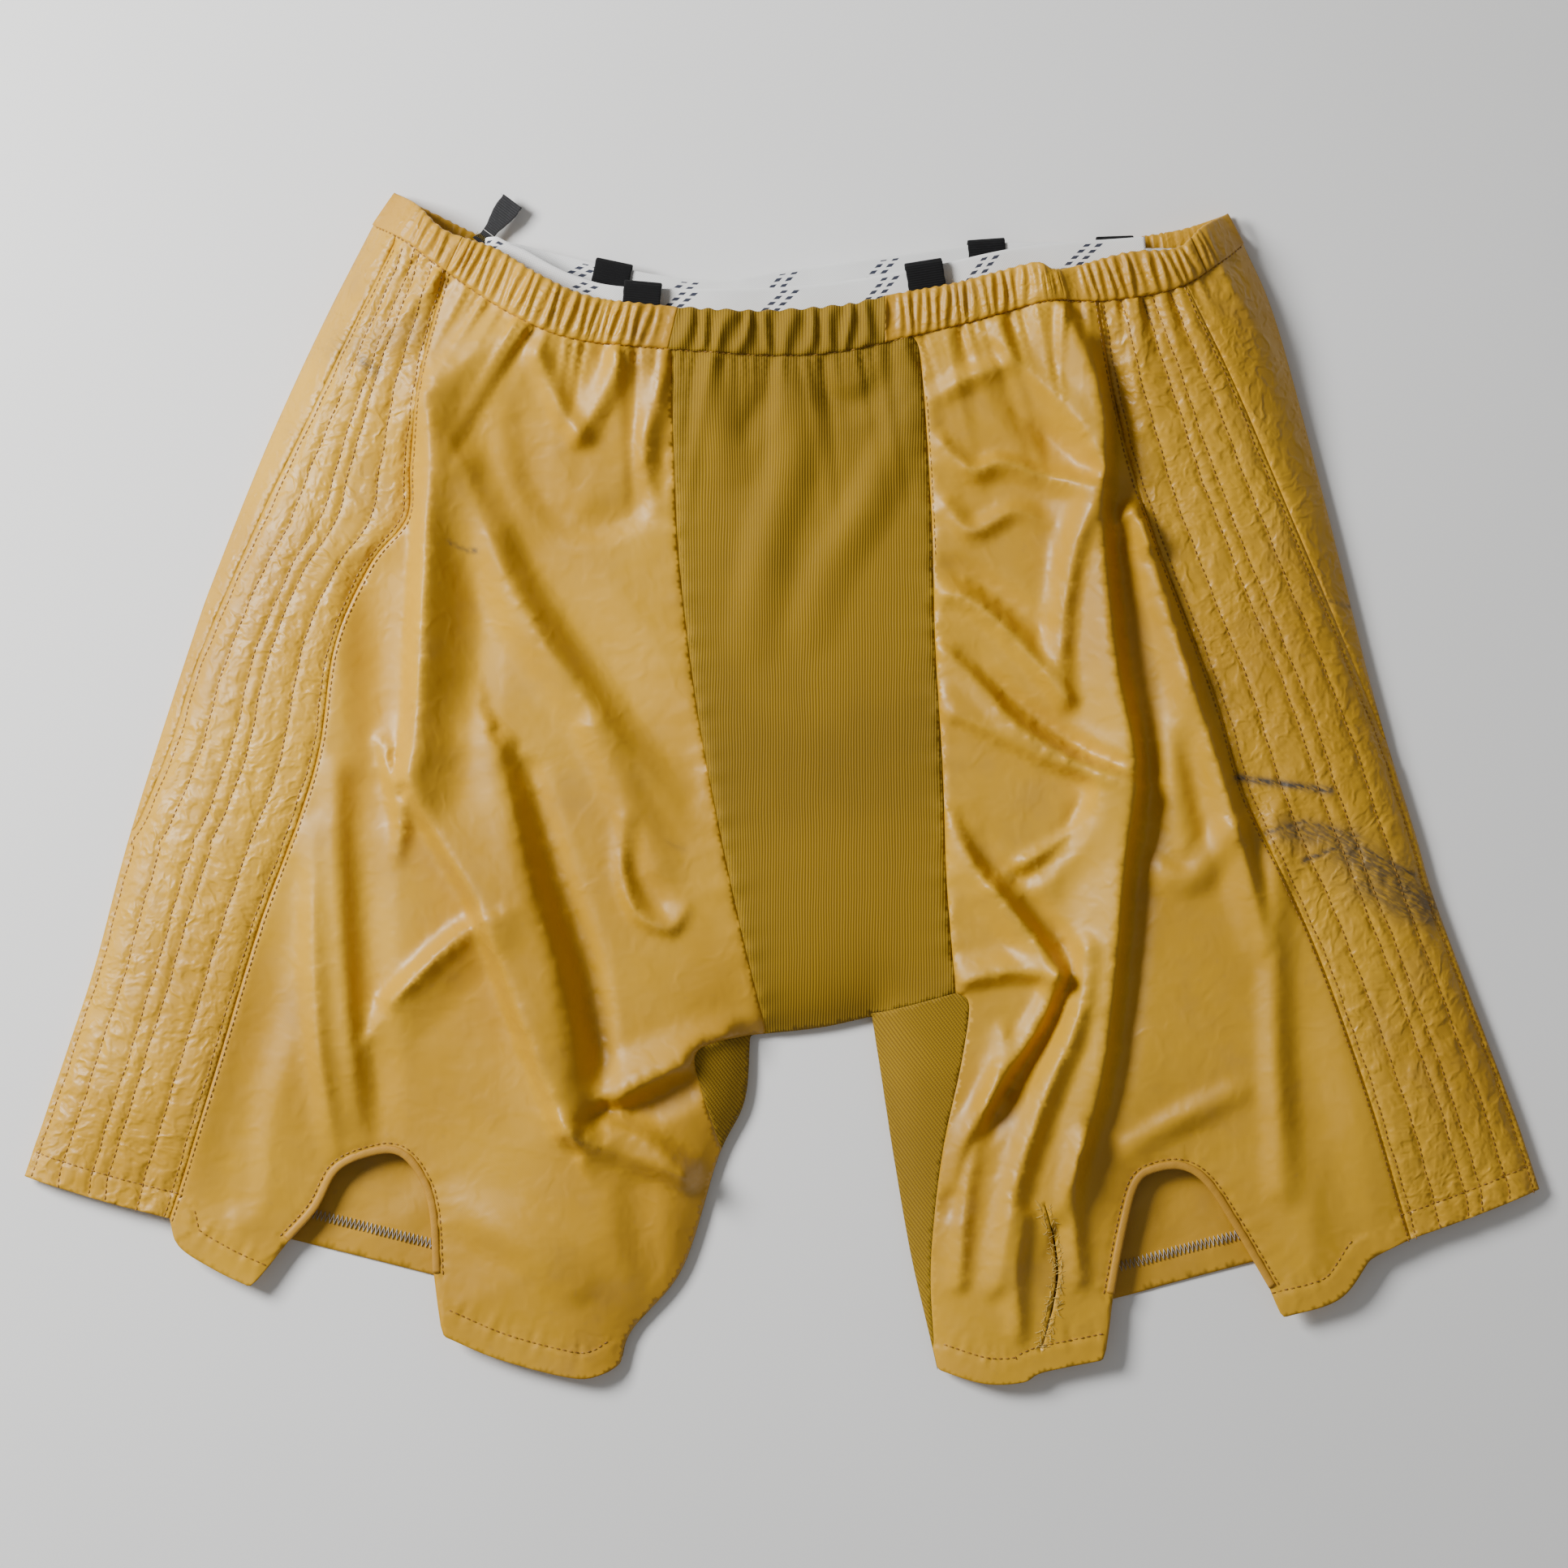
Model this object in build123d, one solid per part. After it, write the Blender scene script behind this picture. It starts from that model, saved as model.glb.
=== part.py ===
from build123d import *
import math
import os

# Ice-hockey pant shell: the loose nylon cover worn over a padded girdle, laid flat on its back.
# Millimetres. +X is the wearer's left, +Y runs from the hems to the waist, +Z is up off the floor.
# The origin is the centre of the outline, on the floor. "right" and "left" are the wearer's.

# --- driving dimensions -------------------------------------------------------------------------

PUFF = 38.0  # height of the shell as it lies, with air between its two layers
CLOTH = 3.0  # a panel with its folds, as a plain slab
SPLIT = 6.0  # the back panels end and the front ones begin this high up the leaning edges
FAR = 1000.0  # beyond everything, for cutting shapes

BAND = 21.0  # height of the waistband casing
BAND_WALL = 6.0  # thickness of the casing with its elastic
CASING_SKIN = 1.5  # the casing's cloth, each side of its tunnel
ELASTIC_SLACK = 0.5  # between the elastic and the tunnel

FOLD_Y = -150.0  # the crease, just below the crotch, where a leg folds up
FOLD_GAP = 0.4  # between the two sides of the crease

BINDING = 4.0  # width of the binding round a notch
HEM = 16.0  # depth of the turned-up hems
OVERLOCK = 4.0  # width of the overlock thread on a raw edge
OVERLOCK_THICK = 1.0

LACE_WIDTH = 16.0
LACE_THICK = 1.2
LACE_FRONT_Z = 25.4  # height of the lace's front run, in the front loops
LACE_BACK_Z = 12.6  # and of its back run, in the back loops
LACE_TURN_X = -150.0  # where the lace turns from one run to the other
LACE_FRONT_END_X = 174.0  # where the two ends stop, inside the left corner of the waist
LACE_BACK_END_X = 192.0
TIP_LENGTH = 22.0
TIP_RADIUS = 2.2

WEBBING_WIDTH = 20.0
WEBBING_THICK = 1.4
LOOP_LENGTH = 23.0  # outside, along the garment
LOOP_HEIGHT = 8.6  # outside, through the garment
LOOP_TAIL = 6.0  # the doubled end that is sewn to the casing
LOOP_GAP = 0.4  # thread between a loop and the casing

TAPE_WIDTH = 12.5  # the loop whose upper end has come unstitched
TAPE_LENGTH = 22.0
TAPE_SEWN = 7.0  # the part of it that is still sewn down

LABEL = (22.0, 14.0, 0.8)  # the blank label inside the back of the waistband

# --- plan lines, from the waist down or from the wearer's right to the left -----------------------

# The tube of the garment runs on past the waist and the hems, where it is cut off.
TUBE = [
    (-170, 397), (-313, 79), (-472, -420), (-140, -420), (-34, -196), (-17, -131),
    (48, -121), (103, -420), (474.5, -420), (314.6, 48.5), (210, 397),
]

FRONT_WAIST = [
    (-FAR, 965), (-206, 317), (-168, 286), (-114, 264), (-62, 253),
    (9, 251), (63, 261), (137, 271), (211, 283), (237, 306), (FAR, 981),
]
BACK_WAIST = [
    (-FAR, 965), (-206, 317), (-157, 293), (-88, 270), (-49, 263),
    (9, 264), (102, 278), (159, 286), (213, 296), (237, 306), (FAR, 981),
]

RIGHT_SIDE_SEAM = [(-176, 340), (-202, 287), (-257, 183), (-309, 71), (-358, -75), (-404, -206), (-480, -420)]
RIGHT_STRIPE_SEAM = [(-176, 340), (-184, 262), (-197, 143), (-238, 70), (-325, -228), (-380, -420)]
RIGHT_GUSSET_SEAM = [(-60, 340), (-58, 253), (-54, 118), (-33, -21), (-8, -130)]
RIGHT_INNER_SEAM = [(-8, -130), (-46, -142), (-44, -168), (-47, -198), (-95, -303), (-100, -340)]
LEFT_GUSSET_SEAM = [(64, 340), (72, 226), (80, 80), (87, -47), (92, -108)]
LEFT_INNER_SEAM = [(92, -108), (101, -113), (90, -187), (90, -270), (97, -340)]
LEFT_STRIPE_SEAM = [(158, 340), (169, 236), (193, 143), (228, 52), (281, -81), (334, -239), (394, -420)]
LEFT_SIDE_SEAM = [(176, 340), (212, 265), (243, 204), (284, 111), (313, 49), (337, -22), (500, -420)]
CROTCH = [(20, -126), (59, -117)]

RIGHT_BAND_END = [(-168, 340), (-168, 100)]
LEFT_BAND_END = [(222, 340), (222, 100)]

RIGHT_FRONT_HEM = [
    (-FAR, -40), (-404, -206), (-325, -228), (-318, -245), (-281, -265),
    (-181, -290), (-150, -303), (-111, -313), (-80, -306), (20, -300),
]
LEFT_FRONT_HEM = [
    (20, -300), (78, -308), (108, -317), (129, -316), (172, -303), (265, -281),
    (296, -271), (313, -249), (334, -239), (404, -213.5), (FAR, 0),
]
RIGHT_BACK_HEM = [(-FAR, -61), (-404, -206), (-186, -259), (-78, -286), (20, -310)]
LEFT_BACK_HEM = [(20, -309), (74, -295), (248, -253), (404, -213.5), (FAR, -62)]

# The arched notches in the front hems.
RIGHT_NOTCH = [(-281, -300), (-276, -258), (-248, -214), (-214, -194), (-193, -211), (-184, -262), (-180, -330)]
LEFT_NOTCH = [(276, -330), (262, -272), (239, -231), (205, -202), (184, -231), (175, -272), (170, -340)]

# The lace's two runs leave the turn side by side, and each loop has its centre and its turn in plan.
LACE_TURN_LINE = [(-178, 283), (LACE_TURN_X, 283)]
LACE_BACK_RUN = [(LACE_TURN_X, 283), (-91, 269), (-40, 262), (16, 269), (76, 277), (109, 281), (177, 282), (230, 286)]
LACE_FRONT_RUN = [(LACE_TURN_X, 283), (-112, 263), (-74, 256), (10, 257), (76, 267), (130, 278), (230, 286)]
FRONT_LOOPS = {"front_right_loop": (-74, 256, -5), "front_left_loop": (76, 267, 9)}
BACK_LOOPS = {
    "back_right_loop": (-91, 269, -12),
    "back_left_loop": (109, 280.5, 4),
    "side_left_loop": (177, 282, 2),
}
TAPE_ROOT = (-156.0, 295.5)
TAPE_TURN = 53.0  # degrees from +X to the tape's length
LABEL_CENTRE = (40.0, 256.0)


# --- helpers ------------------------------------------------------------------------------------


def polygon(points):
    """A flat face with these corners."""
    return make_face(Polyline(*points, close=True))


def prism(face, low=-1.0, high=PUFF + 1.0):
    """The face, stood up from low to high."""
    return extrude(Pos(0, 0, low) * face, amount=high - low)


def box(low, high):
    """A box from its lowest corner to its highest."""
    size = [end - start for start, end in zip(low, high)]
    return Pos(*low) * Box(*size, align=(Align.MIN, Align.MIN, Align.MIN))


def between(line_a, line_b):
    """The region between two plan lines that both run down the garment."""
    return prism(polygon([*line_a, *reversed(line_b)]))


def above(line, drop=0.0):
    """Everything on the far side of a line from the wearer's feet, and the drop below it."""
    face = polygon([*line, (line[-1][0], 2 * FAR), (line[0][0], 2 * FAR)])
    return prism(offset(face, amount=drop, kind=Kind.INTERSECTION) if drop else face)


def tent(inset):
    """The space inside the laid garment, this far in from its surface: flat, with edges that lean in."""
    base = offset(polygon(TUBE), amount=-inset * (1 + math.sqrt(2)), kind=Kind.INTERSECTION)
    return Pos(0, 0, inset) * extrude(base, amount=PUFF - 2 * inset, taper=45)


def layer(outside, inside):
    """A wall of the garment, from one depth to another."""
    return tent(outside) - tent(inside)


FRONT = box((-FAR, -FAR, SPLIT), (FAR, FAR, PUFF + 1))
BACK = box((-FAR, -FAR, -1), (FAR, FAR, SPLIT))
UPPER = box((-FAR, FOLD_Y + FOLD_GAP / 2, -1), (FAR, FAR, PUFF + 1))
LOWER = box((-FAR, -FAR, -1), (FAR, FOLD_Y - FOLD_GAP / 2, PUFF + 1))

SHELL = layer(0, CLOTH)
FRONT_CLOTH = (SHELL & FRONT) - above(FRONT_WAIST, BAND)
BACK_CLOTH = (SHELL & BACK) - above(BACK_WAIST, BAND)

nodes = {}


def cut_in_two(name, panel):
    """Files a panel as its parts on the two sides of the leg's crease."""
    nodes[name + "_upper"] = panel & UPPER
    nodes[name + "_lower"] = panel & LOWER


# --- panels -------------------------------------------------------------------------------------


def stripe_panels():
    """The stitched stripes down the outside of each leg."""
    right = FRONT_CLOTH & between(RIGHT_SIDE_SEAM, RIGHT_STRIPE_SEAM) & above(RIGHT_FRONT_HEM)
    left = FRONT_CLOTH & between(LEFT_STRIPE_SEAM, LEFT_SIDE_SEAM) & above(LEFT_FRONT_HEM)
    cut_in_two("right_stripe_panel", right)
    cut_in_two("left_stripe_panel", left)


def front_panels():
    """The wide nylon fronts, with their notches, the bindings round them and their hems' raw edges."""
    thread = layer(CLOTH, CLOTH + OVERLOCK_THICK) & FRONT
    for side, stripe, gusset, inner, hem, notch in (
        ("right", RIGHT_STRIPE_SEAM, RIGHT_GUSSET_SEAM, RIGHT_INNER_SEAM, RIGHT_FRONT_HEM, RIGHT_NOTCH),
        ("left", LEFT_STRIPE_SEAM, LEFT_GUSSET_SEAM, LEFT_INNER_SEAM, LEFT_FRONT_HEM, LEFT_NOTCH),
    ):
        arch = Spline(*notch)
        opening = prism(make_face([arch, Line(notch[-1], notch[0])]))
        edge = prism(trace(arch, 2 * BINDING))
        region = between(stripe, [*gusset, *inner[1:]])
        panel = (FRONT_CLOTH & region & above(hem)) - opening
        cut_in_two(side + "_front_panel", panel - edge)
        nodes[side + "_notch_binding"] = panel & edge
        nodes[side + "_front_overlock"] = (overlock(thread, hem) & region) - opening - edge


def overlock(thread, hem):
    """The strip of overlock thread along the raw edge of a turned-up hem."""
    low = [(x, y + HEM) for x, y in hem]
    high = [(x, y + HEM + OVERLOCK) for x, y in hem]
    return thread & prism(polygon([*low, *reversed(high)]))


def gussets():
    """The knitted parts: the front and back columns, and the pieces down the inner legs."""
    nodes["front_gusset"] = FRONT_CLOTH & prism(
        polygon([*RIGHT_GUSSET_SEAM, *CROTCH, *reversed(LEFT_GUSSET_SEAM)])
    )
    foot = [(RIGHT_GUSSET_SEAM[-1][0], FOLD_Y), (LEFT_GUSSET_SEAM[-1][0], FOLD_Y)]
    column = prism(polygon([*RIGHT_GUSSET_SEAM, *foot, *reversed(LEFT_GUSSET_SEAM)]))
    nodes["back_gusset"] = BACK_CLOTH & column & UPPER
    right = prism(polygon([*RIGHT_INNER_SEAM, (20, -340), CROTCH[0]]))
    left = prism(polygon([*LEFT_INNER_SEAM, (20, -340), *CROTCH]))
    cut_in_two("right_inner_leg_gusset", FRONT_CLOTH & right & above(RIGHT_FRONT_HEM))
    cut_in_two("left_inner_leg_gusset", FRONT_CLOTH & left & above(LEFT_FRONT_HEM))


def back_panels():
    """The two nylon backs, flat on the floor, which turn up round the outer edges to the side seams."""
    thread = layer(CLOTH, CLOTH + OVERLOCK_THICK) & BACK
    for side, edge, gusset, seam, hem in (
        ("right", -FAR, RIGHT_GUSSET_SEAM, RIGHT_SIDE_SEAM, RIGHT_BACK_HEM),
        ("left", FAR, LEFT_GUSSET_SEAM, LEFT_SIDE_SEAM, LEFT_BACK_HEM),
    ):
        foot = [(edge, 340), (edge, -420), (20, -420), (20, FOLD_Y), (gusset[-1][0], FOLD_Y)]
        flat = BACK_CLOTH & prism(polygon([*foot, *reversed(gusset)]))
        turned = FRONT_CLOTH & prism(polygon([(edge, 340), *seam, (edge, -420)]))
        cut_in_two(side + "_back_panel", (flat + turned) & above(hem))
        nodes[side + "_back_overlock"] = overlock(thread, hem)


# --- waistband ----------------------------------------------------------------------------------


def band(wall, margin):
    """A wall's stretch in the height of the casing, less a margin: the front's part and the back's."""
    front = wall & FRONT & above(FRONT_WAIST, BAND - margin)
    back = wall & BACK & above(BACK_WAIST, BAND - margin)
    return front - above(FRONT_WAIST, margin), back - above(BACK_WAIST, margin)


def waistband():
    """The gathered casing in its lengths, each with a tunnel, and the ring of elastic in them."""
    front, back = band(layer(0, BAND_WALL), 0)
    front_tunnel, back_tunnel = band(layer(CASING_SKIN, BAND_WALL - CASING_SKIN), CASING_SKIN)
    front -= front_tunnel
    back -= back_tunnel
    right_edge = [(-FAR, 340), (-FAR, 100)]
    left_edge = [(FAR, 340), (FAR, 100)]
    right_seam = RIGHT_GUSSET_SEAM[:3]
    left_seam = LEFT_GUSSET_SEAM[:3]
    for name, wall, start, end in (
        ("right_waistband_end", front, right_edge, RIGHT_BAND_END),
        ("front_waistband_right", front, RIGHT_BAND_END, right_seam),
        ("front_waistband_centre", front, right_seam, left_seam),
        ("front_waistband_left", front, left_seam, LEFT_BAND_END),
        ("left_waistband_end", front, LEFT_BAND_END, left_edge),
        ("back_waistband_right", back, right_edge, right_seam),
        ("back_waistband_centre", back, right_seam, left_seam),
        ("back_waistband_left", back, left_seam, left_edge),
    ):
        nodes[name] = wall & between(start, end)
    depth = CASING_SKIN + ELASTIC_SLACK
    front_elastic, back_elastic = band(layer(depth, BAND_WALL - depth), depth)
    nodes["waist_elastic"] = front_elastic + back_elastic


# --- lace and loops -----------------------------------------------------------------------------


def waist_lace():
    """The flat lace: one end at the left corner, round the back, and along the front to the other end."""
    middle = (LACE_FRONT_Z + LACE_BACK_Z) / 2
    radius = (LACE_FRONT_Z - LACE_BACK_Z) / 2
    side_view = [
        Line((LACE_BACK_END_X, LACE_BACK_Z), (LACE_TURN_X, LACE_BACK_Z)),
        CenterArc((LACE_TURN_X, middle), radius, 90, 180),
        Line((LACE_TURN_X, LACE_FRONT_Z), (LACE_FRONT_END_X, LACE_FRONT_Z)),
    ]
    ribbon = extrude(Plane.XZ.offset(-320) * trace(side_view, LACE_THICK), amount=100)
    for run, low, high in ((LACE_BACK_RUN, -1, middle), (LACE_FRONT_RUN, middle, PUFF + 1)):
        plan = [Line(*LACE_TURN_LINE), Spline(*run, tangents=((1, 0), (1, 0)))]
        strip = ribbon & prism(trace(plan, LACE_WIDTH), low, high)
        nodes["waist_lace"] = nodes["waist_lace"] + strip if "waist_lace" in nodes else strip
    for name, x, z in (
        ("lace_tip_back", LACE_BACK_END_X, LACE_BACK_Z),
        ("lace_tip_front", LACE_FRONT_END_X, LACE_FRONT_Z),
    ):
        tip = Rot(0, 90, 0) * Cylinder(TIP_RADIUS, TIP_LENGTH)
        nodes[name] = Pos(x + TIP_LENGTH / 2, 283, z) * tip


def sewn_loop():
    """A webbing loop that stands on z = 0: its ring round the lace, and its doubled tail towards -Y."""
    low = (Align.CENTER, Align.CENTER, Align.MIN)
    ring = Box(WEBBING_WIDTH, LOOP_LENGTH, LOOP_HEIGHT, align=low)
    ring = fillet(ring.edges().filter_by(Axis.X), 3.0)
    hole = Box(2 * WEBBING_WIDTH, LOOP_LENGTH - 2 * WEBBING_THICK, LOOP_HEIGHT - 2 * WEBBING_THICK, align=low)
    hole = Pos(0, 0, WEBBING_THICK) * fillet(hole.edges().filter_by(Axis.X), 1.7)
    tail = box(
        (-WEBBING_WIDTH / 2, -LOOP_LENGTH / 2 - LOOP_TAIL, 0),
        (WEBBING_WIDTH / 2, -LOOP_LENGTH / 2 + 4, 2 * WEBBING_THICK),
    )
    return (ring + tail) - hole


def belt_loops():
    """The five whole loops: the front ones hang under the front casing, the others stand on the back one."""
    loop = sewn_loop()
    for name, (x, y, turn) in FRONT_LOOPS.items():
        hung = mirror(loop, about=Plane.XY)
        nodes[name] = Pos(x, y, PUFF - BAND_WALL - LOOP_GAP) * Rot(0, 0, turn) * hung
    for name, (x, y, turn) in BACK_LOOPS.items():
        nodes[name] = Pos(x, y, BAND_WALL + LOOP_GAP) * Rot(0, 0, turn) * loop


def loose_tape():
    """The loop at the wearer's right that is held by one end, and stands out past the waist edge."""
    place = Pos(*TAPE_ROOT, BAND_WALL + LOOP_GAP) * Rot(0, 0, TAPE_TURN)
    free = box((0.3, -TAPE_WIDTH / 2, 0), (TAPE_LENGTH, TAPE_WIDTH / 2, WEBBING_THICK))
    sewn = box((-TAPE_SEWN, -TAPE_WIDTH / 2, 0), (0, TAPE_WIDTH / 2, WEBBING_THICK))
    nodes["loose_loop_tape"] = place * free
    nodes["loose_tape_sewn_end"] = place * sewn


def waist_label():
    """A blank woven label on the inside of the back casing."""
    nodes["waist_label"] = Pos(*LABEL_CENTRE, BAND_WALL + LABEL[2] / 2) * Box(*LABEL)


stripe_panels()
front_panels()
gussets()
back_panels()
waistband()
waist_lace()
belt_loops()
loose_tape()
waist_label()

os.makedirs("parts", exist_ok=True)
for name, shape in nodes.items():
    solids = list(shape.solids())
    export_step(solids[0] if len(solids) == 1 else Compound(children=solids), f"parts/{name}.step")
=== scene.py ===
"""An ice-hockey pant shell, laid flat on its back: the loose nylon cover that is worn over a padded girdle.

Plan lines, depths and stitch sizes are in millimetres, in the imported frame: +X is the wearer's left, +Y runs
from the hems to the waist and +Z is up. Meshes are made in metres, at their place, and sit at the origin.
"""

from __future__ import annotations

import logging
import math
from dataclasses import dataclass, field
from enum import Enum
from functools import cached_property
from typing import Iterable, Sequence

import bmesh
import bpy
import numpy as np
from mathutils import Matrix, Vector, geometry
from mathutils.bvhtree import BVHTree


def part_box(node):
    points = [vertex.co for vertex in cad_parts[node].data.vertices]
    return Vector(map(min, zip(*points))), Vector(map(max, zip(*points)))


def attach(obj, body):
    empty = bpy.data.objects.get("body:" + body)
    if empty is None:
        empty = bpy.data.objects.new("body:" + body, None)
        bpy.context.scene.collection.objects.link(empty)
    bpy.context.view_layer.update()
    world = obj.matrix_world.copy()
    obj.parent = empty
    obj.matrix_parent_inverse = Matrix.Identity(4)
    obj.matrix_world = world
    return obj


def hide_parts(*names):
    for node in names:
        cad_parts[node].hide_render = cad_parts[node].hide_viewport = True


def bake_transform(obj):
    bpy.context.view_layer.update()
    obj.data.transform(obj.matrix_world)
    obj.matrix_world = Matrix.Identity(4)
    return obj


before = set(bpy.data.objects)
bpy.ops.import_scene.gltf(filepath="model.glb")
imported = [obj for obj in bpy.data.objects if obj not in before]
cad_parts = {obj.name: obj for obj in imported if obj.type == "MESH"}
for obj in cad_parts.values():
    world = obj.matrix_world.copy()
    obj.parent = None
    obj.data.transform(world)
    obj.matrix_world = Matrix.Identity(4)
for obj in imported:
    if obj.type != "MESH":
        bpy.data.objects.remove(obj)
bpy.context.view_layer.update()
LOG = logging.getLogger("pant_shell")

MM = 0.001
SHELL = "shell"
ABOVE_ALL = 0.2  # a height in metres that is over every piece
CHUNK = 6  # how many steps of a line are searched at a time
Point2 = tuple[float, float]
Point3 = tuple[float, float, float]
Color = tuple[float, float, float, float]
Socket = bpy.types.NodeSocket

# --- plan lines, which part.py's model follows ----------------------------------------------------

FRONT_WAIST: tuple[Point2, ...] = (
    (-206, 317), (-193, 309), (-177, 294), (-150, 284), (-127, 270), (-101, 259), (-61, 254), (-15, 251.5),
    (32, 254.5), (58, 260), (91, 266), (131, 276), (146, 273), (181, 282), (208, 285), (222, 297), (237, 306),
)
FRONT_BAND_SEAM: tuple[Point2, ...] = (
    (-217, 301), (-198, 290), (-177, 274), (-140, 250), (-110, 238), (-64, 233), (-8, 229.5), (28, 231),
    (62, 238), (100, 247), (138, 257), (171, 258), (208, 265), (232, 280), (245, 291),
)
BACK_WAIST: tuple[Point2, ...] = (
    (-206, 317), (-184, 306), (-157, 293), (-125, 281), (-88, 270), (-49, 263), (9, 264), (60, 270),
    (102, 278), (140, 288), (159, 287), (190, 294), (213, 298), (237, 306),
)
RIGHT_OUTER: tuple[Point2, ...] = (
    (-217, 301), (-244, 248), (-273, 185), (-300, 118), (-314, 79), (-346, -21), (-365, -92), (-380, -138),
    (-403, -206),
)
LEFT_OUTER: tuple[Point2, ...] = (
    (245, 291), (263, 248), (289, 152), (315, 49), (337, -24), (349, -64), (388, -168), (403, -213),
)
RIGHT_INNER: tuple[Point2, ...] = ((-17, -131), (-20, -166), (-34, -196), (-53, -255), (-80, -288), (-86, -306))
LEFT_INNER: tuple[Point2, ...] = ((48, -121), (53, -153), (60, -198), (69, -249), (79, -292), (83, -309))
CROTCH_EDGE: tuple[Point2, ...] = ((-17, -131), (20, -127), (48, -121))

RIGHT_FRONT_HEM: tuple[Point2, ...] = (
    (-403, -206), (-360, -219), (-325, -228), (-319, -244), (-300, -256), (-281, -265), (-272, -262),
    (-228, -276), (-181, -290), (-150, -303), (-111, -313), (-95, -311), (-86, -306),
)
LEFT_FRONT_HEM: tuple[Point2, ...] = (
    (83, -309), (108, -316), (129, -315), (138, -310), (172, -303), (220, -292), (265, -281), (296, -271),
    (313, -249), (334, -239), (370, -226), (403, -213),
)
RIGHT_BACK_HEM: tuple[Point2, ...] = ((-403, -206), (-262, -240), (-186, -259), (-84, -285))
LEFT_BACK_HEM: tuple[Point2, ...] = ((81, -294), (176, -272), (206, -264), (248, -253), (403, -213))

RIGHT_SIDE_SEAM: tuple[Point2, ...] = (
    (-203, 292), (-233, 231), (-257, 183), (-276, 145), (-309, 71), (-324, 25), (-342, -17), (-352, -30),
)
RIGHT_STRIPE_SEAM: tuple[Point2, ...] = (
    (-176, 274), (-190, 220), (-196, 172), (-198, 143), (-218, 118), (-236, 76), (-244, 23), (-255, -15),
    (-276, -71), (-300, -150), (-317, -204), (-325, -228),
)
RIGHT_GUSSET_SEAM: tuple[Point2, ...] = (
    (-58, 232.5), (-57, 178), (-54, 118), (-45, 44), (-33, -21), (-21, -77), (-8, -130),
)
LEFT_GUSSET_SEAM: tuple[Point2, ...] = (
    (67, 239), (73, 226), (79, 144), (81, 75), (85, 10), (87, -47), (92, -108),
)
LEFT_STRIPE_SEAM: tuple[Point2, ...] = (
    (166, 258), (176, 204), (193, 143), (228, 52), (241, 7), (252, -20), (281, -81), (308, -155), (334, -239),
)
LEFT_SIDE_SEAM: tuple[Point2, ...] = ((212, 267), (243, 204), (284, 111), (311, 49), (326, 12))
CROTCH_SEAM: tuple[Point2, ...] = ((-8, -130), (20, -126), (59, -117), (92, -108))
RIGHT_INNER_SEAM: tuple[Point2, ...] = ((-17, -131), (-34, -134), (-46, -141), (-42, -162), (-31, -197), (-30, -215))
LEFT_INNER_SEAM: tuple[Point2, ...] = (
    (92, -108), (99, -114), (95, -145), (86, -187), (81, -225), (79, -262), (82, -309),
)
RIGHT_NOTCH: tuple[Point2, ...] = (
    (-279, -270), (-262, -240), (-247, -223), (-236, -203), (-220, -195), (-204, -194), (-193, -206),
    (-187, -224), (-185, -257), (-181, -296),
)
LEFT_NOTCH: tuple[Point2, ...] = (
    (265, -290), (259, -265), (239, -231), (225, -210), (213, -202), (199, -203), (189, -210), (182, -236),
    (176, -268), (172, -310),
)
TEAR: tuple[Point2, ...] = ((139, -220), (144, -238), (146, -256), (144, -272), (139, -293), (137, -297))
STRIPE_ROWS = (0.045, 0.22, 0.42, 0.53, 0.76, 0.955)  # across a stripe, from its outer seam to its inner one


class Side(Enum):
    """The wearer's side that a leg, with its pieces, belongs to."""

    RIGHT = "right"
    LEFT = "left"

    @property
    def body(self) -> str:
        """The CAD body of this side's leg."""
        return f"{self.value}_leg"


class Region(Enum):
    """The pieces that the garment's front is sewn from."""

    RIGHT_FRONT = "right_front_panel"
    LEFT_FRONT = "left_front_panel"
    RIGHT_STRIPE = "right_stripe_panel"
    LEFT_STRIPE = "left_stripe_panel"
    GUSSET = "front_gusset"
    RIGHT_INNER = "right_inner_leg_gusset"
    LEFT_INNER = "left_inner_leg_gusset"
    RIGHT_SIDE = "right_back_panel"
    LEFT_SIDE = "left_back_panel"

    @property
    def number(self) -> int:
        """Its place in the Enum, which is its material's place on the sheet too."""
        return list(Region).index(self)


KNITS = (Region.GUSSET, Region.RIGHT_INNER, Region.LEFT_INNER)


# --- lines and fields -----------------------------------------------------------------------------


def smooth_line(points: Sequence[Sequence[float]], step: float = 3.0) -> np.ndarray:
    """A smooth curve through given points.

    Args:
        points: the points, each with two or more coordinates.
        step: about how far apart the curve's samples are.

    Returns:
        The samples, one row each, evenly spaced along the curve.
    """
    given = np.asarray(points, float)
    padded = np.vstack([2 * given[0] - given[1], given, 2 * given[-1] - given[-2]])
    rows = []
    for p0, p1, p2, p3 in zip(padded[:-3], padded[1:-2], padded[2:-1], padded[3:]):
        t = np.linspace(0, 1, 16, endpoint=False)[:, None]
        rows.append(
            0.5 * (2 * p1 + (p2 - p0) * t + (2 * p0 - 5 * p1 + 4 * p2 - p3) * t**2 + (3 * p1 - p0 - 3 * p2 + p3) * t**3)
        )
    rows.append(given[-1:])
    return resample(np.vstack(rows), step)


def resample(line: np.ndarray, step: float) -> np.ndarray:
    """The same line, with its points evenly spaced about one step apart."""
    along = walked(line[:, :3])
    count = max(2, int(round(along[-1] / step)) + 1)
    wanted = np.linspace(0, along[-1], count)
    return np.column_stack([np.interp(wanted, along, line[:, k]) for k in range(line.shape[1])])


def walked(line: np.ndarray) -> np.ndarray:
    """The length along a line to each of its points."""
    return np.concatenate([[0], np.cumsum(np.linalg.norm(np.diff(line, axis=0), axis=1))])


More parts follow.
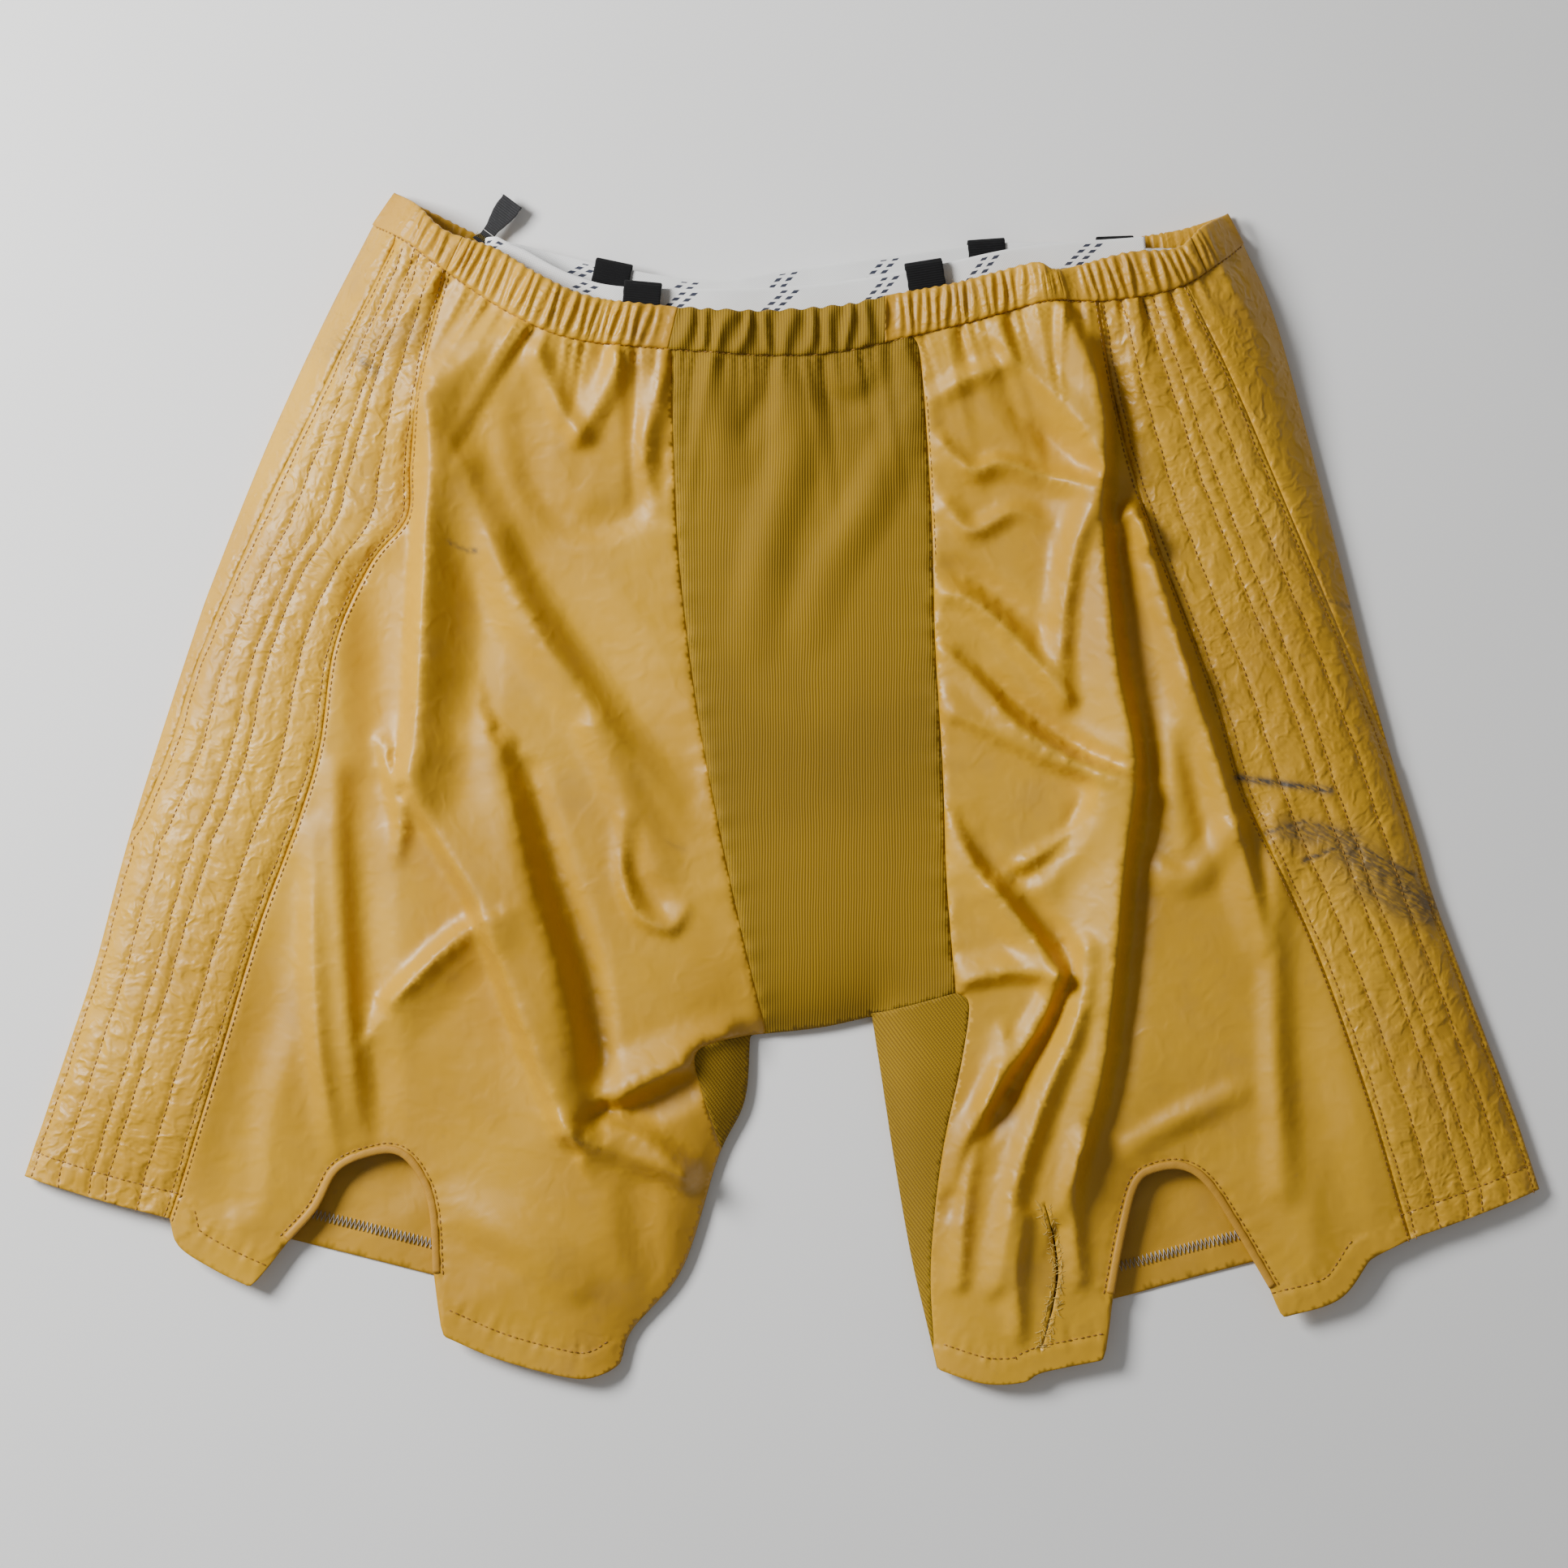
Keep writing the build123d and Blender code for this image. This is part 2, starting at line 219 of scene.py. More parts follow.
def closed(line: np.ndarray) -> np.ndarray:
    """A polygon with its first point again at its end."""
    return np.vstack([line, line[:1]])


def leftwards(line: np.ndarray) -> np.ndarray:
    """Unit vectors in plan to the left of a line, at each of its points."""
    tangent = np.gradient(line[:, :2], axis=0)
    tangent /= np.maximum(np.linalg.norm(tangent, axis=1, keepdims=True), 1e-9)
    return np.column_stack([-tangent[:, 1], tangent[:, 0]])


def each_side(right: Sequence[Point2], left: Sequence[Point2]) -> dict[Side, np.ndarray]:
    """The smoothed lines of both sides."""
    return {Side.RIGHT: smooth_line(right), Side.LEFT: smooth_line(left)}


def lay_on(lookup: BVHTree, line: np.ndarray, lift: float) -> np.ndarray:
    """Lays a line in plan on a surface from above.

    Args:
        lookup: the surface, in metres.
        line: the line; points beside the surface are left out.
        lift: how far over the surface it comes to lie.

    Returns:
        The line's points.
    """
    rows = []
    for x, y in line[:, :2]:
        hit = lookup.ray_cast(Vector((x * MM, y * MM, ABOVE_ALL)), Vector((0, 0, -1)))
        if hit[0] is not None:
            rows.append((x, y, hit[0].z / MM + lift))
    return np.array(rows)


def nearest(points: np.ndarray, line: np.ndarray, reach: float = 90.0) -> tuple[np.ndarray, np.ndarray, np.ndarray]:
    """How far points in plan are from a line.

    Args:
        points: the points, two columns.
        line: the line's points; only their first two columns count.
        reach: how far is looked; a point farther away is given this distance.

    Returns:
        The distance, the length along the line to the nearest place on it, and +1 or -1 for the line's left or
        right side.
    """
    order = np.argsort(points[:, 1])
    x, y = points[order, 0], points[order, 1]
    best, along, side = np.full(len(points), float(reach)), np.zeros(len(points)), np.ones(len(points))
    steps = np.diff(line[:, :2], axis=0)
    lengths = np.hypot(*steps.T)
    starts = np.concatenate([[0], np.cumsum(lengths)])
    for first in range(0, len(steps), CHUNK):
        chunk = line[first:first + CHUNK + 1, :2]
        (west, south), (east, north) = chunk.min(0) - reach, chunk.max(0) + reach
        low, high = np.searchsorted(y, (south, north))
        near = low + np.flatnonzero((x[low:high] > west) & (x[low:high] < east))
        for k in range(first, min(first + CHUNK, len(steps))):
            if lengths[k] < 1e-9:
                continue
            dx, dy = x[near] - line[k, 0], y[near] - line[k, 1]
            t = np.clip((dx * steps[k, 0] + dy * steps[k, 1]) / lengths[k] ** 2, 0, 1)
            gap = np.hypot(dx - t * steps[k, 0], dy - t * steps[k, 1])
            closer = gap < best[near]
            hit = near[closer]
            best[hit], along[hit] = gap[closer], starts[k] + t[closer] * lengths[k]
            side[hit] = np.sign(steps[k, 0] * dy[closer] - steps[k, 1] * dx[closer])
    out = [np.empty(len(points)) for _ in range(3)]
    for target, value in zip(out, (best, along, side)):
        target[order] = value
    return out[0], out[1], out[2]


def inside(points: np.ndarray, polygon: np.ndarray) -> np.ndarray:
    """Which points are inside a polygon.

    Args:
        points: the points in plan.
        polygon: its corners in order.

    Returns:
        True for each point inside.
    """
    x, y = points[:, 0], points[:, 1]
    found = np.zeros(len(points), bool)
    for (x0, y0), (x1, y1) in zip(polygon, np.roll(polygon, -1, axis=0)):
        if y0 == y1:
            continue
        crosses = (y0 > y) != (y1 > y)
        found ^= crosses & (x < (x1 - x0) * (y - y0) / (y1 - y0) + x0)
    return found


def smoothstep(t: np.ndarray) -> np.ndarray:
    """A soft step from 0 at t = 0 to 1 at t = 1."""
    t = np.clip(t, 0, 1)
    return t * t * (3 - 2 * t)


def waves(along: np.ndarray, seed: int, lengths: Sequence[float]) -> np.ndarray:
    """Uneven waves along a line, from a few sines with seeded phases.

    Args:
        along: lengths along the line.
        seed: of the phases.
        lengths: the length of each wave.

    Returns:
        A value at each length, between -1 and 1.
    """
    random = np.random.default_rng(seed)
    total = np.zeros_like(along, float)
    for length in lengths:
        total += np.sin(2 * math.pi * along / length + random.uniform(0, 2 * math.pi))
    return total / len(lengths)


VALLEY_DEPTH = 0.6  # the share of its depth in the tables below that a valley is given
VALLEY_WIDTH = 1.3  # and of its width


@dataclass(frozen=True)
class Fold:
    """A fold of cloth: its crest in plan with the height there, and how far it falls on each side.

    The sides are the left and right of someone walking along the crest. A negative height is a valley.
    """

    crest: tuple[Point3, ...]
    left: float
    right: float
    round: float = 0.11

    def add_to(self, points: np.ndarray, z: np.ndarray) -> None:
        """Adds the fold to a height field.

        Args:
            points: the field's points in plan.
            z: their heights, changed where the fold reaches.
        """
        line = smooth_line(self.crest, 4.0)
        share, widen = (VALLEY_DEPTH, VALLEY_WIDTH) if self.crest[0][2] < 0 else (1.0, 1.0)
        left, right = self.left * widen, self.right * widen
        reach = max(left, right)
        low, high = line[:, :2].min(0) - reach, line[:, :2].max(0) + reach
        near = np.flatnonzero(np.all((points > low) & (points < high), axis=1))
        if not len(near):
            return
        gap, along, side = nearest(points[near], line, reach + 1)
        height = share * np.interp(along, walked(line[:, :2]), line[:, 2])
        t = gap / np.where(side > 0, left, right)
        top = math.sqrt(1 + self.round**2)
        p = np.clip((top - np.sqrt(t * t + self.round**2)) / (top - self.round), 0, 1)
        z[near] += height * p * (0.3 + 1.2 * p - 0.5 * p * p)


# --- the folds that lie in the front of each leg ----------------------------------------------------

RIGHT_LEG_FOLDS: tuple[Fold, ...] = (
    Fold(((-187, 205, 5), (-185, 180, 10), (-187, 140, 13), (-190, 80, 13), (-193, 30, 12), (-197, 6, 9)), 30, 9),
    Fold(((-187, 208, 4), (-168, 223, 6), (-146, 237, 5), (-124, 245, 3)), 20, 34),
    Fold(((-216, 110, -6), (-214, 70, -8), (-212, 30, -6), (-212, -5, -3)), 18, 16, 0.5),
    Fold(((-166, 192, -3), (-166, 130, -4), (-163, 80, -4), (-168, 44, -3)), 17, 22, 0.6),
    Fold(((-166, 168, 5), (-152, 128, 8), (-130, 86, 9), (-106, 52, 8), (-82, 22, 5), (-62, 0, 2)), 16, 22),
    Fold(((-130, 118, -5), (-104, 82, -7), (-78, 42, -7), (-52, 6, -5), (-44, -10, -2)), 22, 22, 0.5),
    Fold(((-198, 6, 6), (-176, -33, 10), (-160, -60, 11), (-147, -95, 11), (-132, -135, 11), (-114, -180, 8)), 36, 8),
    Fold(((-150, 22, 6), (-142, -8, 9), (-132, -48, 10), (-119, -90, 10), (-109, -135, 8), (-108, -165, 4)), 12, 40),
    Fold(((-134, 8, -6), (-120, -40, -9), (-104, -90, -9), (-97, -135, -9), (-94, -168, -7)), 9, 16, 0.4),
    Fold(((-88, -164, 9), (-66, -152, 9), (-40, -141, 8), (-12, -131, 6)), 22, 9),
    Fold(((-94, -172, -7), (-72, -166, -9), (-44, -153, -6)), 10, 12, 0.4),
    Fold(((-114, -181, 6), (-90, -190, 6), (-66, -199, 7), (-47, -207, 5)), 16, 10),
    Fold(((-92, -176, 4), (-70, -186, 6), (-50, -204, 5)), 9, 12),
    Fold(((-84, -16, 2), (-84, -45, 4), (-76, -66, 5), (-60, -74, 4), (-52, -66, 2)), 9, 6),
    Fold(((-78, -22, -2), (-76, -45, -3), (-66, -60, -3)), 7, 7, 0.4),
    Fold(((-247, -22, 2), (-247, -80, 5), (-244, -140, 6), (-236, -192, 4)), 14, 11),
    Fold(((-236, 10, 2), (-234, -50, 4), (-230, -120, 4), (-222, -188, 3)), 10, 12),
    Fold(((-222, 0, -3), (-219, -60, -5), (-216, -120, -6), (-214, -180, -4)), 12, 11, 0.5),
    Fold(((-262, -50, -3), (-270, -110, -5), (-284, -165, -6), (-290, -215, -5)), 13, 18, 0.6),
    Fold(((-212, 26, 3), (-206, 5, 6), (-201, -18, 5), (-203, -35, 2)), 7, 6),
    Fold(((-213, -122, 4), (-195, -101, 6), (-176, -82, 6), (-158, -70, 4)), 9, 26),
    Fold(((-208, -112, 3), (-186, -93, 4), (-166, -76, 3)), 7, 6),
    Fold(((-138, 190, -3), (-128, 156, -5), (-106, 138, -5), (-78, 146, -5), (-64, 170, -3)), 14, 9, 0.3),
    Fold(((-128, 228, 4), (-118, 203, 5), (-107, 186, 4)), 9, 9),
    Fold(((-84, 226, 4), (-96, 203, 5), (-105, 186, 4)), 9, 12),
    Fold(((-64, 215, 3), (-72, 180, 5), (-68, 150, 2)), 8, 8),
    Fold(((-170, -225, 3), (-140, -238, 4), (-112, -262, 2)), 20, 16, 0.5),
    Fold(((-76, -215, -4), (-74, -240, -5), (-66, -262, -3)), 12, 12, 0.5),
    Fold(((-100, 30, 3), (-84, -6, 4), (-66, -40, 2)), 16, 12, 0.4),
)
LEFT_LEG_FOLDS: tuple[Fold, ...] = (
    Fold(((147, 252, 6), (161, 224, 10), (169, 192, 12), (168, 150, 12), (171, 110, 12), (177, 60, 12),
          (186, 12, 12), (180, -40, 11), (175, -100, 10), (168, -155, 8), (156, -195, 6), (146, -226, 3)), 7, 30, 0.12),
    Fold(((172, 232, -4), (178, 190, -6), (178, 130, -4), (184, 70, -4), (194, 5, -5), (188, -60, -5),
          (182, -120, -5), (176, -165, -4), (167, -200, -2)), 9, 7, 0.4),
    Fold(((108, 240, 3), (136, 213, 5), (160, 187, 6), (171, 168, 5)), 14, 7),
    Fold(((118, 206, -3), (142, 184, -7), (162, 168, -7)), 7, 9, 0.3),
    Fold(((84, 182, 3), (100, 168, 6), (116, 172, 6), (140, 164, 5), (168, 158, 4)), 7, 10),
    Fold(((166, 156, 4), (155, 132, 7), (149, 100, 7), (147, 70, 6), (150, 50, 3)), 9, 12),
    Fold(((84, 118, -3), (100, 112, -6), (118, 100, -6), (138, 84, -4)), 9, 7, 0.3),
    Fold(((82, 104, 4), (98, 100, 6), (118, 84, 6), (138, 62, 6), (150, 47, 4)), 8, 9),
    Fold(((100, 70, -3), (126, 44, -8), (156, 22, -9), (184, 8, -6)), 7, 9, 0.25),
    Fold(((84, 74, 3), (104, 56, 4), (124, 34, 5), (152, 16, 6), (184, 4, 5)), 6, 9),
    Fold(((82, 42, 4), (106, 32, 5), (138, 16, 6), (164, 5, 7), (161, -14, 6), (140, -32, 5), (118, -44, 3)), 26, 5),
    Fold(((160, -12, -4), (148, -30, -7), (130, -46, -8), (114, -42, -5), (106, -28, -2)), 7, 7, 0.3),
    Fold(((88, -14, 3), (100, -38, 6), (118, -60, 8), (136, -82, 9), (146, -97, 7)), 6, 16),
    Fold(((122, -46, -4), (140, -72, -8), (152, -92, -9), (149, -112, -10), (134, -138, -10), (114, -168, -9),
          (98, -194, -7), (91, -222, -4)), 8, 8, 0.3),
    Fold(((96, -102, 5), (120, -97, 7), (144, -99, 6)), 16, 6),
    Fold(((146, -100, 6), (136, -124, 8), (116, -154, 8), (98, -184, 6), (90, -210, 3)), 7, 9),
    Fold(((160, -84, 5), (154, -124, 8), (138, -164, 8), (124, -208, 7), (114, -262, 4)), 10, 12),
    Fold(((118, -130, 3), (110, -166, 5), (98, -210, 5), (94, -262, 3)), 7, 9),
    Fold(((262, -10, 2), (260, -70, 3.5), (261, -140, 4), (264, -212, 3)), 14, 11),
    Fold(((270, -100, -2), (278, -150, -4), (290, -200, -4), (298, -232, -2)), 16, 16, 0.6),
    Fold(((184, 148, 6), (196, 116, 8), (213, 62, 9), (232, 4, 9), (247, -48, 7), (254, -80, 3)), 8, 16),
    Fold(((176, 140, 3), (186, 146, 6), (194, 128, 4)), 5, 7),
    Fold(((212, 60, 2), (206, 20, 4), (214, -30, 3)), 12, 12, 0.5),
    Fold(((196, -40, 2), (216, -46, 4), (236, -20, 3)), 9, 14, 0.4),
    Fold(((186, -190, 3), (208, -176, 4), (240, -160, 2)), 9, 12, 0.4),
    Fold(((86, 150, 3), (100, 136, 5), (122, 146, 4), (140, 140, 2)), 8, 8),
    Fold(((80, 206, 2), (98, 216, 5), (116, 222, 3)), 9, 9),
    Fold(((160, -186, 5), (154, -216, 6), (158, -260, 4)), 8, 10),
    Fold(((128, -226, 4), (124, -256, 5), (126, -288, 3)), 7, 10),
)
GUSSET_FOLDS: tuple[Fold, ...] = (
    Fold(((-8, 228, -2), (-9, 208, -4), (-18, 190, -2)), 9, 6, 0.4),
    Fold(((14, 222, -2), (26, 206, -4), (42, 204, -4), (54, 216, -2)), 7, 9, 0.4),
    Fold(((-34, 226, 2), (-34, 200, 3), (-30, 168, 1)), 14, 14, 0.5),
    Fold(((2, 214, 2), (6, 180, 3), (-8, 130, 3), (-16, 80, 1)), 18, 16, 0.5),
    Fold(((62, 190, 2), (44, 150, 3), (26, 120, 2), (14, 86, 1)), 18, 14, 0.5),
)


# --- meshes and objects ---------------------------------------------------------------------------


def make_object(
    name: str, verts: np.ndarray, faces: Iterable[Sequence[int]], material: bpy.types.Material, smooth: bool = True
) -> bpy.types.Object:
    """A mesh object at the origin.

    Args:
        name: the piece's name.
        verts: vertices in millimetres.
        faces: vertex numbers of each face.
        material: what it is dressed in.
        smooth: whether its faces are shaded smooth.

    Returns:
        The new object, linked to the scene.
    """
    mesh = bpy.data.meshes.new(name)
    mesh.from_pydata((np.asarray(verts, float) * MM).tolist(), [], [list(f) for f in faces])
    mesh.validate()
    mesh.polygons.foreach_set("use_smooth", [smooth] * len(mesh.polygons))
    mesh.materials.append(material)
    mesh.update()
    obj = bpy.data.objects.new(name, mesh)
    bpy.context.scene.collection.objects.link(obj)
    return obj


def bake_modifiers(obj: bpy.types.Object) -> bpy.types.Object:
    """Turns an object with modifiers into a plain mesh.

    Args:
        obj: the object.

    Returns:
        It, or the mesh object that takes its place if it was of another type.
    """
    bpy.context.view_layer.update()
    graph = bpy.context.evaluated_depsgraph_get()
    mesh = bpy.data.meshes.new_from_object(obj.evaluated_get(graph), depsgraph=graph)
    old = obj.data
    obj.modifiers.clear()
    if obj.type == "MESH":
        obj.data = mesh
        if old.users == 0:
            bpy.data.meshes.remove(old)
        mesh.name = obj.name
        return obj
    plain = bpy.data.objects.new(obj.name, mesh)
    bpy.context.scene.collection.objects.link(plain)
    bpy.data.objects.remove(obj)
    return plain


def thicken(obj: bpy.types.Object, thickness: float, offset: float = -1.0, levels: int = 1) -> bpy.types.Object:
    """Gives a sheet its thickness and smooths it, as a plain mesh.

    Args:
        obj: the sheet.
        thickness: in millimetres.
        offset: Solidify's offset; -1 thickens inwards from the outer face.
        levels: how many times the mesh is subdivided.

    Returns:
        The same object.
    """
    if levels:
        smooth = obj.modifiers.new("Subdivide", "SUBSURF")
        smooth.levels = smooth.render_levels = levels
        smooth.boundary_smooth = "PRESERVE_CORNERS"
    solid = obj.modifiers.new("Thickness", "SOLIDIFY")
    solid.thickness = thickness * MM
    solid.offset = offset
    return bake_modifiers(obj)


def strip_faces(rows: int, columns: int, ring: bool = False) -> list[tuple[int, int, int, int]]:
    """The quads of a grid.

    Args:
        rows: how many rows of points it has.
        columns: how many points are in a row.
        ring: whether each row closes on itself.

    Returns:
        The corners of each quad.
    """
    quads = []
    for start in range(0, (rows - 1) * columns, columns):
        for c in range(columns if ring else columns - 1):
            d = (c + 1) % columns
            quads.append((start + c, start + d, start + columns + d, start + columns + c))
    return quads


def tube_mesh(sections: np.ndarray) -> tuple[np.ndarray, list[Sequence[int]]]:
    """A closed solid through cross-sections of equal point counts, capped at both ends.

    Args:
        sections: rows of cross-sections, each a ring of points.

    Returns:
        Its vertices and faces, which point outwards where a ring runs clockwise seen from ahead.
    """
    rows, columns = sections.shape[:2]
    faces: list[Sequence[int]] = list(strip_faces(rows, columns, ring=True))
    faces.append(list(range(columns))[::-1])
    faces.append([(rows - 1) * columns + c for c in range(columns)])
    return sections.reshape(-1, 3), faces


def face_outwards(obj: bpy.types.Object) -> None:
    """Turns a closed mesh's faces outwards."""
    work = bmesh.new()
    work.from_mesh(obj.data)
    bmesh.ops.remove_doubles(work, verts=work.verts, dist=1e-7)
    bmesh.ops.recalc_face_normals(work, faces=work.faces)
    work.to_mesh(obj.data)
    work.free()


def belongs(obj: bpy.types.Object, body: str, slot: str, *nodes: str) -> bpy.types.Object:
    """Puts a finished piece on its body.

    Args:
        obj: the piece.
        body: the CAD body that it moves with.
        slot: not used.
        *nodes: the CAD nodes that it stands for.

    Returns:
        The same piece.
    """
    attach(obj, body)
    if nodes:
        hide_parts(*nodes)
    LOG.info("%s rides on %s (%d faces)", obj.name, body, len(obj.data.polygons))
    return obj


def crosses_fold(obj: bpy.types.Object, side: Side, slot: str, *nodes: str) -> bpy.types.Object:
    """Hides the CAD nodes that a finished piece lying across the crease between the shell and a leg stands for, and
    bakes its transform into its mesh; it is put on no body.

    Args:
        obj: the piece.
        side: the leg whose crease it lies across, only named in the log.
        slot: not used.
        *nodes: the CAD nodes that it stands for.

    Returns:
        The same piece.
    """
    if nodes:
        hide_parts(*nodes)
    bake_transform(obj)
    LOG.info("%s bends from %s to %s (%d faces)", obj.name, SHELL, side.body, len(obj.data.polygons))
    return obj


def add_solid(
    name: str, rings: np.ndarray, material: bpy.types.Material, body: str, slot: str, *nodes: str
) -> bpy.types.Object:
    """Makes a closed solid through cross-sections and puts it on its body.

    Args:
        name: the piece's name.
        rings: its cross-sections, in order.
        material: what it is dressed in.
        body: the CAD body that it moves with.
        slot: not used; it is only passed on to belongs.
        *nodes: the CAD nodes that it stands for.

    Returns:
        The finished piece.
    """
    obj = make_object(name, *tube_mesh(rings), material)
    face_outwards(obj)
    return belongs(obj, body, slot, *nodes)


# --- shared shader groups and the finishes --------------------------------------------------------


class NodeTree:
    """Adds nodes to a shader or geometry tree in few words."""

    def __init__(self, tree: bpy.types.NodeTree) -> None:
        """Keeps the tree that nodes are added to."""
        self.tree = tree

    def add(self, kind: str, inputs: dict[int | str, object] | None = None, **settings: object) -> bpy.types.Node:
        """Adds a node, sets it and joins it up.

        Args:
            kind: the node's type name.
            inputs: for each input, by name or number, the value it has or the output that feeds it.
            **settings: the node's own properties.

        Returns:
            The node.
        """
        node = self.tree.nodes.new(kind)
        for name, value in settings.items():
            setattr(node, name, value)
        self.feed(node, inputs or {})
        return node

    def feed(self, node: bpy.types.Node, inputs: dict[int | str, object]) -> None:
        """Sets or links a node's inputs.

        Args:
            node: the node.
            inputs: for each input, by name or number, the value it has or the output that feeds it.
        """
        for key, value in inputs.items():
            if isinstance(value, bpy.types.NodeSocket):
                self.tree.links.new(value, node.inputs[key])
            else:
                node.inputs[key].default_value = value

    def group(self, tree: bpy.types.NodeTree, vector: Socket, **floats: float) -> bpy.types.Node:
        """A node of a shared group, with its coordinates and its float inputs."""
        return self.add("ShaderNodeGroup", {"Vector": vector, **floats}, node_tree=tree)

    def bump(self, height: Socket, strength: float, distance: float, **over: Socket) -> Socket:
        """A bumped normal, over another one if that is given as Normal."""
        inputs = {"Height": height, "Strength": strength, "Distance": distance, **over}
        return self.add("ShaderNodeBump", inputs).outputs[0]

    def noise(self, vector: Socket, scale: float, detail: float = 2.0, rough: float = 0.5) -> Socket:
        """The value of a noise texture, about 0.3 to 0.7."""
        inputs = {"Vector": vector, "Scale": scale, "Detail": detail, "Roughness": rough}
        return self.add("ShaderNodeTexNoise", inputs).outputs["Fac"]

    def stretch(self, vector: Socket, scale: Point3, turn: float = 0.0) -> Socket:
        """Coordinates turned about Z by so many degrees and then scaled."""
        turned = self.add("ShaderNodeMapping", {"Vector": vector, "Rotation": (0, 0, math.radians(turn))})
        return self.add("ShaderNodeMapping", {"Vector": turned.outputs[0], "Scale": scale}).outputs[0]

    def ramp(self, value: Socket, low: float, high: float, out_low: float = 0.0, out_high: float = 1.0) -> Socket:
        """The value's range from low to high, softly turned into one from out_low to out_high."""
        names = ("Value", "From Min", "From Max", "To Min", "To Max")
        inputs = dict(zip(names, (value, low, high, out_low, out_high)))
        return self.add("ShaderNodeMapRange", inputs, interpolation_type="SMOOTHSTEP").outputs[0]

    def math(self, operation: str, a: object, b: object = 0.0) -> Socket:
        """The result of a Math node."""
        return self.add("ShaderNodeMath", {0: a, 1: b}, operation=operation).outputs[0]

    def mix(self, factor: object, a: object, b: object, blend: str = "MIX") -> Socket:
        """The colour that a Mix node gives."""
        return self.add("ShaderNodeMix", {0: factor, 6: a, 7: b}, data_type="RGBA", blend_type=blend).outputs[2]


def start_group(
    name: str, tree_type: str, inputs: dict[str, float | str], outputs: dict[str, str]
) -> tuple[NodeTree, bpy.types.Node, bpy.types.Node]:
    """A new node group with its sockets.

    Args:
        name: the group's name.
        tree_type: whether it is a shader or a geometry tree.
        inputs: each input's default, if it is a float, or else the kind of its socket.
        outputs: the kind of each output's socket.

    Returns:
        The tree, with its input and output nodes.
    """
    tree = bpy.data.node_groups.new(name, tree_type)
    for label, value in inputs.items():
        kind = value if isinstance(value, str) else "Float"
        socket = tree.interface.new_socket(label, in_out="INPUT", socket_type=f"NodeSocket{kind}")
        if kind == "Float":
            socket.default_value = value
    for label, kind in outputs.items():
        tree.interface.new_socket(label, in_out="OUTPUT", socket_type=f"NodeSocket{kind}")
    return NodeTree(tree), tree.nodes.new("NodeGroupInput"), tree.nodes.new("NodeGroupOutput")


